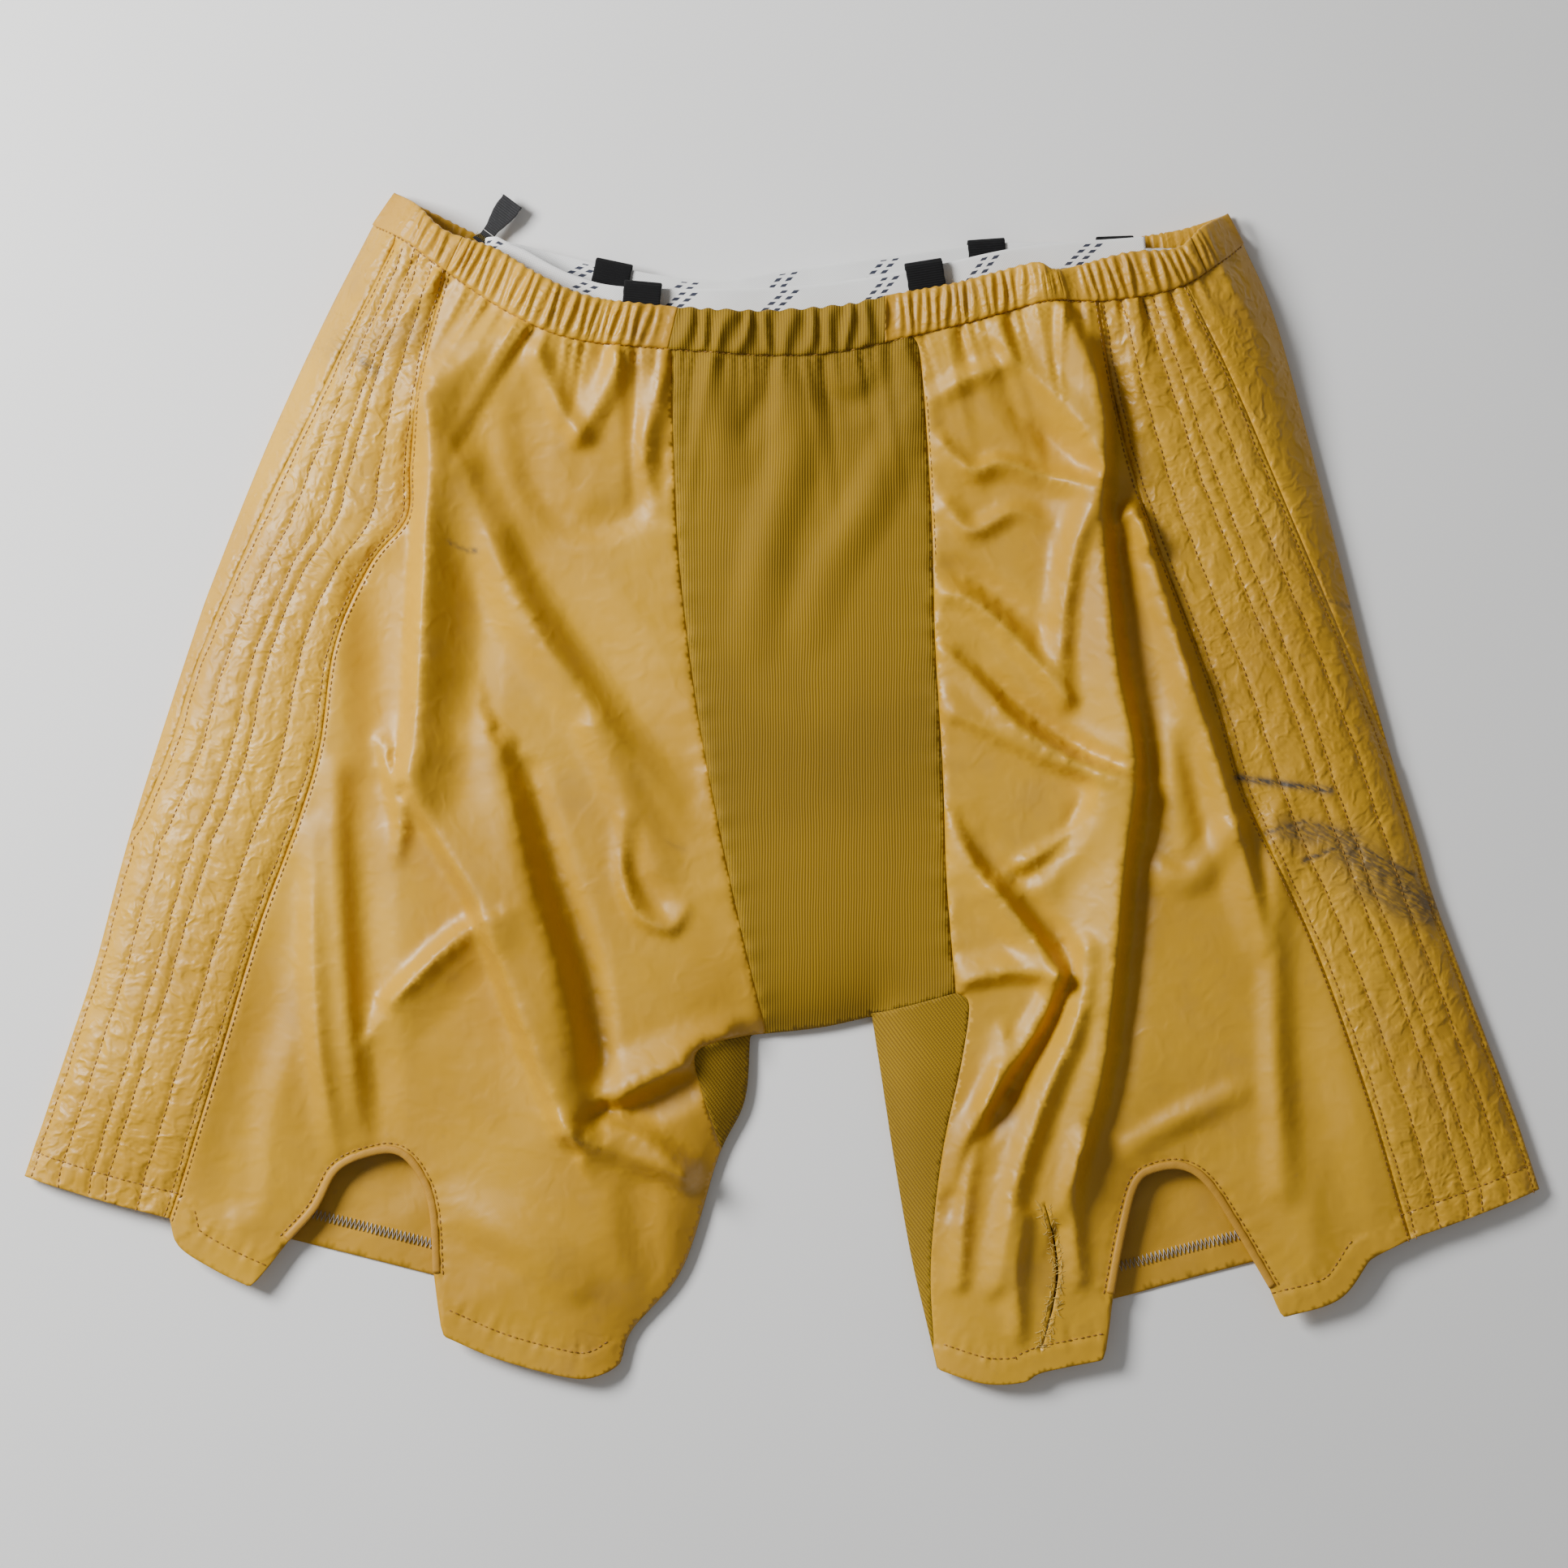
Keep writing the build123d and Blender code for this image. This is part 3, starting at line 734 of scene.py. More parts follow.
class SharedGroups:
    """The node groups that more than one finish uses, each built when it is first asked for."""

    @staticmethod
    def _start(
        name: str, floats: dict[str, float], *outputs: str
    ) -> tuple[NodeTree, dict[str, Socket], bpy.types.Node]:
        """A new group with a Vector input, float inputs and float outputs."""
        net, given, out = start_group(
            name, "ShaderNodeTree", {"Vector": "Vector", **floats}, dict.fromkeys(outputs, "Float")
        )
        return net, given.outputs, out

    @cached_property
    def plain_weave(self) -> bpy.types.NodeTree:
        """Threads over and under each other: Height 0 to 1, for a thread count per metre."""
        net, given, out = self._start("plain_weave", {"Threads": 1000.0, "Unevenness": 0.3}, "Height")
        split = net.add("ShaderNodeSeparateXYZ", {0: given["Vector"]})
        turns = net.math("MULTIPLY", given["Threads"], math.pi)
        across = net.math("SINE", net.math("MULTIPLY", split.outputs[0], turns))
        down = net.math("SINE", net.math("MULTIPLY", split.outputs[1], turns))
        cross = net.math("MULTIPLY", across, down)
        slub = net.noise(net.stretch(given["Vector"], (1, 0.12, 1)), 900.0, 1.0)
        uneven = net.math("MULTIPLY", net.math("SUBTRACT", slub, 0.5), given["Unevenness"])
        height = net.math("ADD", net.math("MULTIPLY_ADD", cross, 0.5), uneven)
        net.feed(out, {"Height": net.math("ADD", height, 0.5)})
        return net.tree

    @cached_property
    def knit_ribs(self) -> bpy.types.NodeTree:
        """Columns of knit loops along V, so many per metre: Height, and Shade for the light between columns."""
        net, given, out = self._start("knit_ribs", {"Columns": 700.0, "Courses": 900.0}, "Height", "Shade")
        wander = net.noise(net.stretch(given["Vector"], (1, 0.35, 1)), 60.0, 1.0)
        split = net.add("ShaderNodeSeparateXYZ", {0: given["Vector"]})
        drift = net.math("MULTIPLY", net.math("SUBTRACT", wander, 0.5), 0.0022)
        u = net.math("MULTIPLY", net.math("ADD", split.outputs[0], drift), given["Columns"])
        column = net.math("SINE", net.math("MULTIPLY", u, 2 * math.pi))
        v = net.math("MULTIPLY", split.outputs[1], given["Courses"])
        lean = net.math("MULTIPLY", net.math("ABSOLUTE", net.math("SINE", net.math("MULTIPLY", u, math.pi))), 0.5)
        course = net.math("SINE", net.math("MULTIPLY", net.math("ADD", v, lean), 2 * math.pi))
        both = net.math("ADD", net.math("MULTIPLY", column, 0.38), net.math("MULTIPLY", course, 0.12))
        net.feed(out, {"Height": net.math("ADD", both, 0.5), "Shade": net.ramp(column, -1.0, 0.2)})
        return net.tree

    @cached_property
    def crinkle(self) -> bpy.types.NodeTree:
        """Small soft creases that handling leaves in thin cloth: Height 0 to 1."""
        net, given, out = self._start("crinkle", {"Size": 60.0}, "Height")
        vector = given["Vector"]
        warp = net.add("ShaderNodeTexNoise", {"Vector": vector, "Scale": 22.0, "Detail": 1.0})
        moved = net.add("ShaderNodeVectorMath", {0: warp.outputs["Color"], 1: (0.02, 0.02, 0.02)}, operation="MULTIPLY")
        place = net.add("ShaderNodeVectorMath", {0: vector, 1: moved.outputs[0]}, operation="ADD")
        inputs = {"Vector": place.outputs[0], "Scale": given["Size"], "Detail": 2.0, "Roughness": 0.45}
        soft = net.add("ShaderNodeTexNoise", inputs).outputs["Fac"]
        ridge = net.math("ABSOLUTE", net.math("SUBTRACT", soft, 0.5))
        net.feed(out, {"Height": net.ramp(ridge, 0.0, 0.16, 1.0, 0.0)})
        return net.tree

    @cached_property
    def grime(self) -> bpy.types.NodeTree:
        """Uneven dirt and fading: Dirt in patches and specks, and Fade in broad slow clouds."""
        net, given, out = self._start("grime", {"Amount": 0.5}, "Dirt", "Fade")
        vector = given["Vector"]
        cloud = net.noise(vector, 9.0, 3.0)
        specks = net.ramp(net.noise(vector, 160.0, 2.0, 0.6), 0.66, 0.76)
        patches = net.ramp(net.noise(vector, 24.0, 4.0, 0.62), 0.52, 0.78)
        total = net.math("MAXIMUM", net.math("MULTIPLY", specks, 0.5), patches)
        net.feed(out, {"Dirt": net.math("MULTIPLY", total, given["Amount"]), "Fade": net.ramp(cloud, 0.3, 0.7)})
        return net.tree


GROUPS = SharedGroups()


def start_material(name: str, slot: str) -> tuple[bpy.types.Material, NodeTree, bpy.types.Node, Socket]:
    """A new material with its shader and Object coordinates.

    Args:
        name: the material's name.
        slot: the record's slot, kept on the material as a note.

    Returns:
        The material, its tree, its Principled shader and the Object coordinates' output.
    """
    material = bpy.data.materials.new(name)
    material.use_nodes = True
    material["slot"] = slot
    net = NodeTree(material.node_tree)
    shader = material.node_tree.nodes["Principled BSDF"]
    coords = net.add("ShaderNodeTexCoord").outputs["Object"]
    return material, net, shader, coords


@dataclass(frozen=True)
class NylonFinish:
    """Thin shiny woven nylon, with a fine weave whose shade and highlight are painted into its colour, small creases,
    some fading and the marks of use.
    """

    name: str
    slot: str
    color: Color
    deep: Color
    roughness: float = 0.47
    crease: float = 0.26
    creases_per_metre: float = 55.0
    grime: float = 0.25
    threads: float = 1500.0
    scuffs: bool = False

    def build(self) -> bpy.types.Material:
        """The material."""
        material, net, shader, coords = start_material(self.name, self.slot)
        weave = net.group(GROUPS.plain_weave, coords, Threads=self.threads)
        crinkle = net.group(GROUPS.crinkle, coords, Size=self.creases_per_metre)
        grime = net.group(GROUPS.grime, coords, Amount=self.grime)
        base = net.mix(grime.outputs["Fade"], self.deep, self.color)
        # Painted shade and highlight of the weave: the colour is darkened where the threads dip and lifted a little on
        # their crests.
        woven = net.ramp(weave.outputs["Height"], 0.0, 1.0, 0.90, 1.04)
        base = net.mix(1.0, base, woven, "MULTIPLY")
        base = net.mix(grime.outputs["Dirt"], base, (0.30, 0.17, 0.055, 1))
        if self.scuffs:
            mark = net.add("ShaderNodeAttribute", attribute_name="scuff").outputs["Fac"]
            streaks = net.noise(net.stretch(coords, (1, 5, 1), 30.0), 150.0, 3.0, 0.65)
            rubbed = net.math("MULTIPLY", mark, net.ramp(streaks, 0.34, 0.56, 0.4, 1.0))
            base = net.mix(rubbed, base, (0.055, 0.05, 0.045, 1))
        rough = net.ramp(net.noise(coords, 70.0, 3.0), 0.3, 0.7, self.roughness - 0.06, self.roughness + 0.08)
        creased = net.bump(crinkle.outputs["Height"], self.crease, 0.0006)
        normal = net.bump(weave.outputs["Height"], 0.22, 0.0001, Normal=creased)
        net.feed(shader, {
            "Base Color": base, "Roughness": rough, "Normal": normal, "Specular IOR Level": 0.5,
            "Sheen Weight": 0.03, "Sheen Roughness": 0.4, "Sheen Tint": (1.0, 0.86, 0.6, 1),
        })
        return material


@dataclass(frozen=True)
class KnitFinish:
    """Ribbed stretch knit, matte, whose columns run along Y after a turn, with painted shade in the grooves between
    them.
    """

    name: str
    turn: float = 0.0
    columns: float = 700.0
    color: Color = (0.31, 0.178, 0.0006, 1)
    # Painted shade: the colour that the grooves between the rib columns are darkened to.
    groove_shade: Color = (0.175, 0.095, 0.0005, 1)

    def build(self) -> bpy.types.Material:
        """The material."""
        material, net, shader, coords = start_material(self.name, "mustard_knit")
        ribs = net.group(GROUPS.knit_ribs, net.stretch(coords, (1, 1, 1), self.turn), Columns=self.columns)
        grime = net.group(GROUPS.grime, coords, Amount=0.2)
        fuzz = net.noise(coords, 1400.0, 2.0)
        # Painted shade between the rib columns, from the ribs' Shade output.
        base = net.mix(ribs.outputs["Shade"], self.groove_shade, self.color)
        base = net.mix(1.0, base, net.ramp(grime.outputs["Fade"], 0.0, 1.0, 0.88, 1.08), "MULTIPLY")
        base = net.mix(net.ramp(fuzz, 0.55, 0.75, 0.0, 0.1), base, (0.55, 0.36, 0.03, 1))
        height = net.math("ADD", ribs.outputs["Height"], net.math("MULTIPLY", fuzz, 0.35))
        bump = net.bump(height, 0.6, 0.0004)
        rough = net.ramp(fuzz, 0.3, 0.7, 0.66, 0.82)
        net.feed(shader, {
            "Base Color": base, "Roughness": rough, "Normal": bump, "Specular IOR Level": 0.3,
            "Sheen Weight": 0.12, "Sheen Roughness": 0.45, "Sheen Tint": (1.0, 0.85, 0.4, 1),
        })
        return material


@dataclass(frozen=True)
class WebbingFinish:
    """Woven narrow tape: ribs across it, and a little dust."""

    name: str
    slot: str
    color: Color
    dust: Color
    roughness: float = 0.7

    def build(self) -> bpy.types.Material:
        """The material."""
        material, net, shader, coords = start_material(self.name, self.slot)
        weave = net.group(GROUPS.plain_weave, coords, Threads=2400.0)
        grime = net.group(GROUPS.grime, coords, Amount=0.5)
        lint = net.ramp(net.noise(coords, 900.0, 2.0, 0.6), 0.56, 0.72)
        base = net.mix(net.math("MULTIPLY", lint, 0.35), self.color, self.dust)
        base = net.mix(net.math("MULTIPLY", grime.outputs["Dirt"], 0.5), base, self.dust)
        bump = net.bump(weave.outputs["Height"], 0.5, 0.00025)
        rough = net.ramp(lint, 0.0, 1.0, self.roughness, self.roughness + 0.15)
        net.feed(shader, {
            "Base Color": base, "Roughness": rough, "Normal": bump, "Specular IOR Level": 0.22,
            "Sheen Weight": 0.04, "Sheen Roughness": 0.5,
        })
        return material


@dataclass(frozen=True)
class LaceFinish:
    """A flat woven lace, white, with groups of slanting black tracer dashes along it.

    It reads the lace's own UV map, in metres: U across it from its middle, V along it.
    """

    name: str = "white_woven_lace"
    repeat: float = 0.054  # from one group of dashes to the next
    group_length: float = 0.019
    slant: float = 1.15
    row_starts: tuple[float, float] = (0.006, 0.0125)
    marked_half_width: float = 0.0064
    dash_pitch: float = 0.003
    dash_width: float = 0.0017
    dash_half_length: float = 0.0016

    def build(self) -> bpy.types.Material:
        """The material."""
        material, net, shader, coords = start_material(self.name, "white_lace")
        uv = net.add("ShaderNodeUVMap", uv_map="lace").outputs[0]
        split = net.add("ShaderNodeSeparateXYZ", {0: uv})
        u, v = split.outputs[0], split.outputs[1]
        along = net.math("MODULO", net.math("ADD", v, 10 * self.repeat), self.repeat)
        run = net.math("SUBTRACT", along, net.math("MULTIPLY", u, self.slant))
        marks = 0.0
        for start in self.row_starts:
            line = net.math("ABSOLUTE", net.math("SUBTRACT", run, start + self.group_length / 3))
            dashes = net.math("MODULO", net.math("ADD", u, 0.1 + start), self.dash_pitch)
            dashed = net.math("LESS_THAN", dashes, self.dash_width)
            row = net.math("MULTIPLY", net.math("LESS_THAN", line, self.dash_half_length), dashed)
            marks = net.math("MAXIMUM", marks, row)
        inner = net.math("LESS_THAN", net.math("ABSOLUTE", u), self.marked_half_width)
        marks = net.math("MULTIPLY", marks, inner)
        weave = net.group(GROUPS.plain_weave, uv, Threads=1500.0)
        grime = net.group(GROUPS.grime, coords, Amount=0.12)
        shade = net.ramp(weave.outputs["Height"], 0.0, 1.0, 0.88, 1.0)
        base = net.mix(1.0, (0.86, 0.86, 0.85, 1), shade, "MULTIPLY")
        base = net.mix(grime.outputs["Dirt"], base, (0.45, 0.42, 0.36, 1))
        base = net.mix(marks, base, (0.03, 0.035, 0.06, 1))
        bump = net.bump(weave.outputs["Height"], 0.5, 0.0003)
        rough = net.ramp(net.noise(coords, 500.0), 0.3, 0.7, 0.7, 0.85)
        net.feed(shader, {"Base Color": base, "Roughness": rough, "Normal": bump, "Sheen Weight": 0.1})
        return material


@dataclass(frozen=True)
class ThreadFinish:
    """Sewing thread, with a slight twist and a change of shade along it."""

    name: str
    slot: str
    color: Color
    worn: Color
    roughness: float = 0.5

    def build(self) -> bpy.types.Material:
        """The material."""
        material, net, shader, coords = start_material(self.name, self.slot)
        tone = net.ramp(net.noise(coords, 240.0, 3.0, 0.6), 0.35, 0.68)
        twist = net.noise(net.stretch(coords, (1, 1, 1), 40.0), 3200.0, 1.0)
        bump = net.bump(twist, 0.4, 0.0001)
        net.feed(shader, {
            "Base Color": net.mix(tone, self.worn, self.color), "Normal": bump,
            "Roughness": net.ramp(twist, 0.3, 0.7, self.roughness - 0.05, self.roughness + 0.1),
        })
        return material


@dataclass(frozen=True)
class PlasticFinish:
    """Clear-ish moulded plastic, crimped and slightly clouded."""

    name: str = "lace_tip_plastic"

    def build(self) -> bpy.types.Material:
        """The material."""
        material, net, shader, coords = start_material(self.name, "clear_plastic")
        cloudy = net.noise(coords, 300.0, 3.0)
        bump = net.bump(cloudy, 0.15, 0.0002)
        net.feed(shader, {
            "Base Color": net.mix(net.ramp(cloudy, 0.35, 0.65), (0.62, 0.64, 0.66, 1), (0.82, 0.83, 0.84, 1)),
            "Roughness": net.ramp(cloudy, 0.3, 0.7, 0.16, 0.34), "Normal": bump,
            "Transmission Weight": 0.35, "IOR": 1.49,
        })
        return material


class Finishes:
    """Every finish of the garment, built once."""

    def __init__(self) -> None:
        """Builds the materials."""
        gold, binding = "gold_nylon", "gold_binding"
        self.front_nylon = NylonFinish(
            "gold_nylon_leg", gold, (0.59, 0.318, 0.010, 1), (0.48, 0.245, 0.006, 1), scuffs=True
        ).build()
        self.stripe_nylon = NylonFinish(
            "gold_nylon_stripe", gold, (0.60, 0.325, 0.012, 1), (0.50, 0.26, 0.008, 1), 0.46,
            crease=0.7, creases_per_metre=95.0, grime=0.3, scuffs=True,
        ).build()
        self.back_nylon = NylonFinish(
            "gold_nylon_back", gold, (0.56, 0.295, 0.012, 1), (0.46, 0.235, 0.008, 1), 0.5, grime=0.3
        ).build()
        self.casing_nylon = NylonFinish(
            "gold_nylon_casing", gold, (0.57, 0.30, 0.010, 1), (0.46, 0.23, 0.006, 1), 0.46,
            crease=0.4, creases_per_metre=120.0,
        ).build()
        self.binding = NylonFinish(
            "gold_binding_tape", binding, (0.52, 0.265, 0.02, 1), (0.41, 0.20, 0.012, 1), 0.6,
            crease=0.2, threads=1100.0,
        ).build()
        self.knit = KnitFinish("mustard_knit_column").build()
        self.knit_inner = KnitFinish("mustard_knit_inner_leg", turn=-38.0, columns=620.0).build()
        self.webbing, self.tape, self.elastic, self.label = (WebbingFinish(*look).build() for look in (
            ("black_ribbed_webbing", "black_webbing", (0.003, 0.003, 0.0035, 1), (0.02, 0.02, 0.022, 1)),
            # Painted light: the loose tape is black webbing given a lighter dark grey for the strong light that falls
            # on it.
            ("dark_grey_tape", "black_webbing", (0.032, 0.032, 0.034, 1), (0.09, 0.09, 0.095, 1)),
            ("cream_woven_elastic", "woven_elastic", (0.78, 0.76, 0.70, 1), (0.5, 0.48, 0.42, 1)),
            ("white_satin_label", "white_label", (0.80, 0.79, 0.76, 1), (0.6, 0.58, 0.53, 1), 0.5),
        ))
        self.lace = LaceFinish().build()
        self.tip = PlasticFinish().build()
        self.gold_thread, self.white_thread, self.yellow_thread = (ThreadFinish(*look).build() for look in (
            # The gold thread is a darker brown than the nylon: partly its own colour, partly painted shade of the
            # needle holes along the stitch rows.
            ("gold_sewing_thread", binding, (0.36, 0.18, 0.018, 1), (0.20, 0.09, 0.009, 1)),
            ("white_overlock_thread", "white_thread", (0.84, 0.83, 0.79, 1), (0.62, 0.58, 0.50, 1)),
            ("yellow_bar_tack_thread", binding, (0.78, 0.60, 0.16, 1), (0.60, 0.42, 0.10, 1)),
        ))


# --- repeated work: stitches, overlock and frayed ends ----------------------------------------------


class Repeats:
    """Geometry Nodes trees for what repeats along a line, and the running of them."""

    @staticmethod
    def _start(name: str, floats: dict[str, float]) -> tuple[NodeTree, dict[str, Socket], bpy.types.Node, Socket]:
        """A new tree with its inputs, and the lines that it is given as curves."""
        inputs = {"Geometry": "Geometry", **floats, "Material": "Material"}
        net, given, out = start_group(name, "GeometryNodeTree", inputs, {"Geometry": "Geometry"})
        curve = net.add("GeometryNodeMeshToCurve", {0: given.outputs["Geometry"]})
        return net, given.outputs, out, curve.outputs[0]

    @staticmethod
    def _end(net: NodeTree, given: dict[str, Socket], out: bpy.types.Node, shape: Socket) -> bpy.types.NodeTree:
        """Realizes the instances, sets the material and closes the tree."""
        real = net.add("GeometryNodeRealizeInstances", {0: shape})
        dressed = net.add("GeometryNodeSetMaterial", {"Geometry": real.outputs[0], "Material": given["Material"]})
        net.feed(out, {0: dressed.outputs[0]})
        return net.tree

    @cached_property
    def stitch_tree(self) -> bpy.types.NodeTree:
        """One small plump stitch every pitch along each line."""
        net, given, out, curve = self._start("running_stitch", {"Pitch": 0.0032, "Length": 0.0024, "Width": 0.00055})
        points = net.add("GeometryNodeCurveToPoints", {"Curve": curve, "Length": given["Pitch"]}, mode="LENGTH")
        turn = net.add("FunctionNodeAlignRotationToVector", {"Vector": points.outputs["Tangent"]}, axis="X")
        ball = net.add("GeometryNodeMeshUVSphere", {"Segments": 6, "Rings": 4, "Radius": 0.5})
        size = net.add("ShaderNodeCombineXYZ", {0: given["Length"], 1: given["Width"], 2: given["Width"]})
        placed = net.add("GeometryNodeInstanceOnPoints", {
            "Points": points.outputs["Points"], "Instance": ball.outputs["Mesh"], "Rotation": turn.outputs[0],
            "Scale": size.outputs[0],
        })
        return self._end(net, given, out, placed.outputs[0])

    @cached_property
    def overlock_tree(self) -> bpy.types.NodeTree:
        """A thread that zigzags across each line."""
        net, given, out, curve = self._start(
            "overlock_thread", {"Pitch": 0.0021, "Width": 0.0036, "Thickness": 0.00034}
        )
        half = net.math("MULTIPLY", given["Pitch"], 0.5)
        even = net.add("GeometryNodeResampleCurve", {"Curve": curve, "Length": half}, mode="LENGTH")
        tangent = net.add("GeometryNodeInputTangent").outputs[0]
        across = net.add("ShaderNodeVectorMath", {0: tangent, 1: (0, 0, 1)}, operation="CROSS_PRODUCT")
        index = net.add("GeometryNodeInputIndex")
        parity = net.math("SUBTRACT", net.math("MODULO", index.outputs[0], 2.0), 0.5)
        reach = net.math("MULTIPLY", parity, given["Width"])
        offset = net.add("ShaderNodeVectorMath", {0: across.outputs[0], "Scale": reach}, operation="SCALE")
        moved = net.add("GeometryNodeSetPosition", {"Geometry": even.outputs[0], "Offset": offset.outputs[0]})
        ring = net.add("GeometryNodeCurvePrimitiveCircle", {"Resolution": 4, "Radius": given["Thickness"]})
        return self._end(net, given, out, self._thread(net, moved.outputs[0], ring.outputs[0]))

    @cached_property
    def fray_tree(self) -> bpy.types.NodeTree:
        """Short loose threads that stand out from each line at seeded angles."""
        net, given, out, curve = self._start("frayed_threads", {"Pitch": 0.0012, "Length": 0.004})
        points = net.add("GeometryNodeCurveToPoints", {"Curve": curve, "Length": given["Pitch"]}, mode="LENGTH")
        arc = net.add("GeometryNodeCurvePrimitiveBezierSegment", {
            "Resolution": 4, "Start": (0, 0, 0), "Start Handle": (0.3, 0.0, 0.12), "End Handle": (0.7, 0.2, 0.1),
            "End": (1, 0.1, -0.1),
        })
        ring = net.add("GeometryNodeCurvePrimitiveCircle", {"Resolution": 3, "Radius": 0.04})
        angle = net.add(
            "FunctionNodeRandomValue", {0: (-0.25, -0.2, 0.0), 1: (0.25, 0.1, 6.28), "Seed": 11},
            data_type="FLOAT_VECTOR",
        )
        grow = net.add("FunctionNodeRandomValue", {2: 0.35, 3: 1.0, "Seed": 12}, data_type="FLOAT")
        placed = net.add("GeometryNodeInstanceOnPoints", {
            "Points": points.outputs["Points"], "Instance": self._thread(net, arc.outputs[0], ring.outputs[0]),
            "Rotation": angle.outputs[0], "Scale": net.math("MULTIPLY", grow.outputs[1], given["Length"]),
        })
        return self._end(net, given, out, placed.outputs[0])

    @staticmethod
    def _thread(net: NodeTree, path: Socket, ring: Socket) -> Socket:
        """A capped tube along a path."""
        inputs = {"Curve": path, "Profile Curve": ring, "Fill Caps": True}
        return net.add("GeometryNodeCurveToMesh", inputs).outputs[0]

    def along(
        self, name: str, lines: Sequence[np.ndarray], tree: bpy.types.NodeTree, material: bpy.types.Material,
        **sizes: float,
    ) -> bpy.types.Object:
        """Runs a tree along lines and keeps the plain mesh that it makes.

        Args:
            name: the piece's name.
            lines: each line's points, in millimetres.
            tree: one of this class's trees.
            material: the thread.
            **sizes: the tree's float inputs by name, in millimetres.

        Returns:
            The finished mesh object.
        """
        mesh = bpy.data.meshes.new(name)
        verts: list[list[float]] = []
        edges: list[tuple[int, int]] = []
        for line in lines:
            first = len(verts)
            verts.extend((np.asarray(line, float) * MM).tolist())
            edges.extend((first + i, first + i + 1) for i in range(len(line) - 1))
        mesh.from_pydata(verts, edges, [])
        obj = bpy.data.objects.new(name, mesh)
        bpy.context.scene.collection.objects.link(obj)
        modifier = obj.modifiers.new("Repeat", "NODES")
        modifier.node_group = tree
        ids = {item.name: item.identifier for item in tree.interface.items_tree if item.in_out == "INPUT"}
        for label, size in sizes.items():
            modifier[ids[label]] = size * MM
        modifier[ids["Material"]] = material
        return bake_modifiers(obj)


# --- the cloth ------------------------------------------------------------------------------------


def y_of(line: np.ndarray, x: np.ndarray) -> np.ndarray:
    """The line's y at each x."""
    order = np.argsort(line[:, 0])
    return np.interp(x, line[order, 0], line[order, 1])


def x_of(line: np.ndarray, y: np.ndarray) -> np.ndarray:
    """The line's x at each y."""
    order = np.argsort(line[:, 1])
    return np.interp(y, line[order, 1], line[order, 0])


def hex_points(low: np.ndarray, high: np.ndarray, pitch: float, seed: int) -> np.ndarray:
    """Slightly shaken points on a triangular grid that fills a box in plan."""
    random = np.random.default_rng(seed)
    rows = np.arange(low[1], high[1], pitch * math.sqrt(3) / 2)
    points = []
    for r, y in enumerate(rows):
        xs = np.arange(low[0] + (r % 2) * pitch / 2, high[0], pitch)
        points.append(np.column_stack([xs, np.full(len(xs), y)]))
    grid = np.vstack(points)
    return grid + random.uniform(-0.12, 0.12, grid.shape) * pitch


def triangulate(
    outline: np.ndarray, holes: Sequence[np.ndarray], lines: Sequence[np.ndarray], fill: np.ndarray
) -> tuple[np.ndarray, np.ndarray]:
    """Triangles that fill an outline, with edges along given lines.

    Args:
        outline: a closed polygon in plan.
        holes: closed polygons left empty.
        lines: lines that triangles must not cross.
        fill: the points inside.

    Returns:
        The points and the triangles.
    """
    points: list[np.ndarray] = []
    edges: list[tuple[int, int]] = []
    for line, is_ring in [(outline, True), *((hole, True) for hole in holes), *((line, False) for line in lines)]:
        first = sum(len(p) for p in points)
        points.append(line[:, :2])
        edges.extend((first + i, first + i + 1) for i in range(len(line) - 1))
        if is_ring:
            edges.append((first + len(line) - 1, first))
    points.append(fill)
    flat = np.vstack(points)
    made = geometry.delaunay_2d_cdt([Vector(p) for p in flat], edges, [], 0, 1e-4)
    verts = np.array([tuple(v) for v in made[0]])
    faces = np.array([f for f in made[2] if len(f) == 3])
    middle = verts[faces].mean(axis=1)
    keep = inside(middle, outline)
    for hole in holes:
        keep &= ~inside(middle, hole)
    corners = verts[faces]
    a, b = corners[:, 1] - corners[:, 0], corners[:, 2] - corners[:, 0]
    keep &= np.abs(a[:, 0] * b[:, 1] - a[:, 1] * b[:, 0]) > 0.02
    return verts, faces[keep]


def ripples(
    points: np.ndarray, seed: int, heading: float, spread: float, lengths: tuple[float, float], count: int = 9
) -> np.ndarray:
    """Seeded crossing waves, between about -1 and 1.

    Args:
        points: where, in plan.
        seed: of the random draws.
        heading: the waves' mean direction of travel, in degrees.
        spread: how far each may turn from it, in degrees.
        lengths: the shortest and longest wave.
        count: how many waves are added.

    Returns:
        A value at each point.
    """
    random = np.random.default_rng(seed)
    total = np.zeros(len(points))
    for _ in range(count):
        angle = math.radians(heading + random.uniform(-spread, spread))
        number = 2 * math.pi / random.uniform(*lengths)
        phase = random.uniform(0, 2 * math.pi)
        total += np.sin((points[:, 0] * math.cos(angle) + points[:, 1] * math.sin(angle)) * number + phase)
    return total / math.sqrt(count)


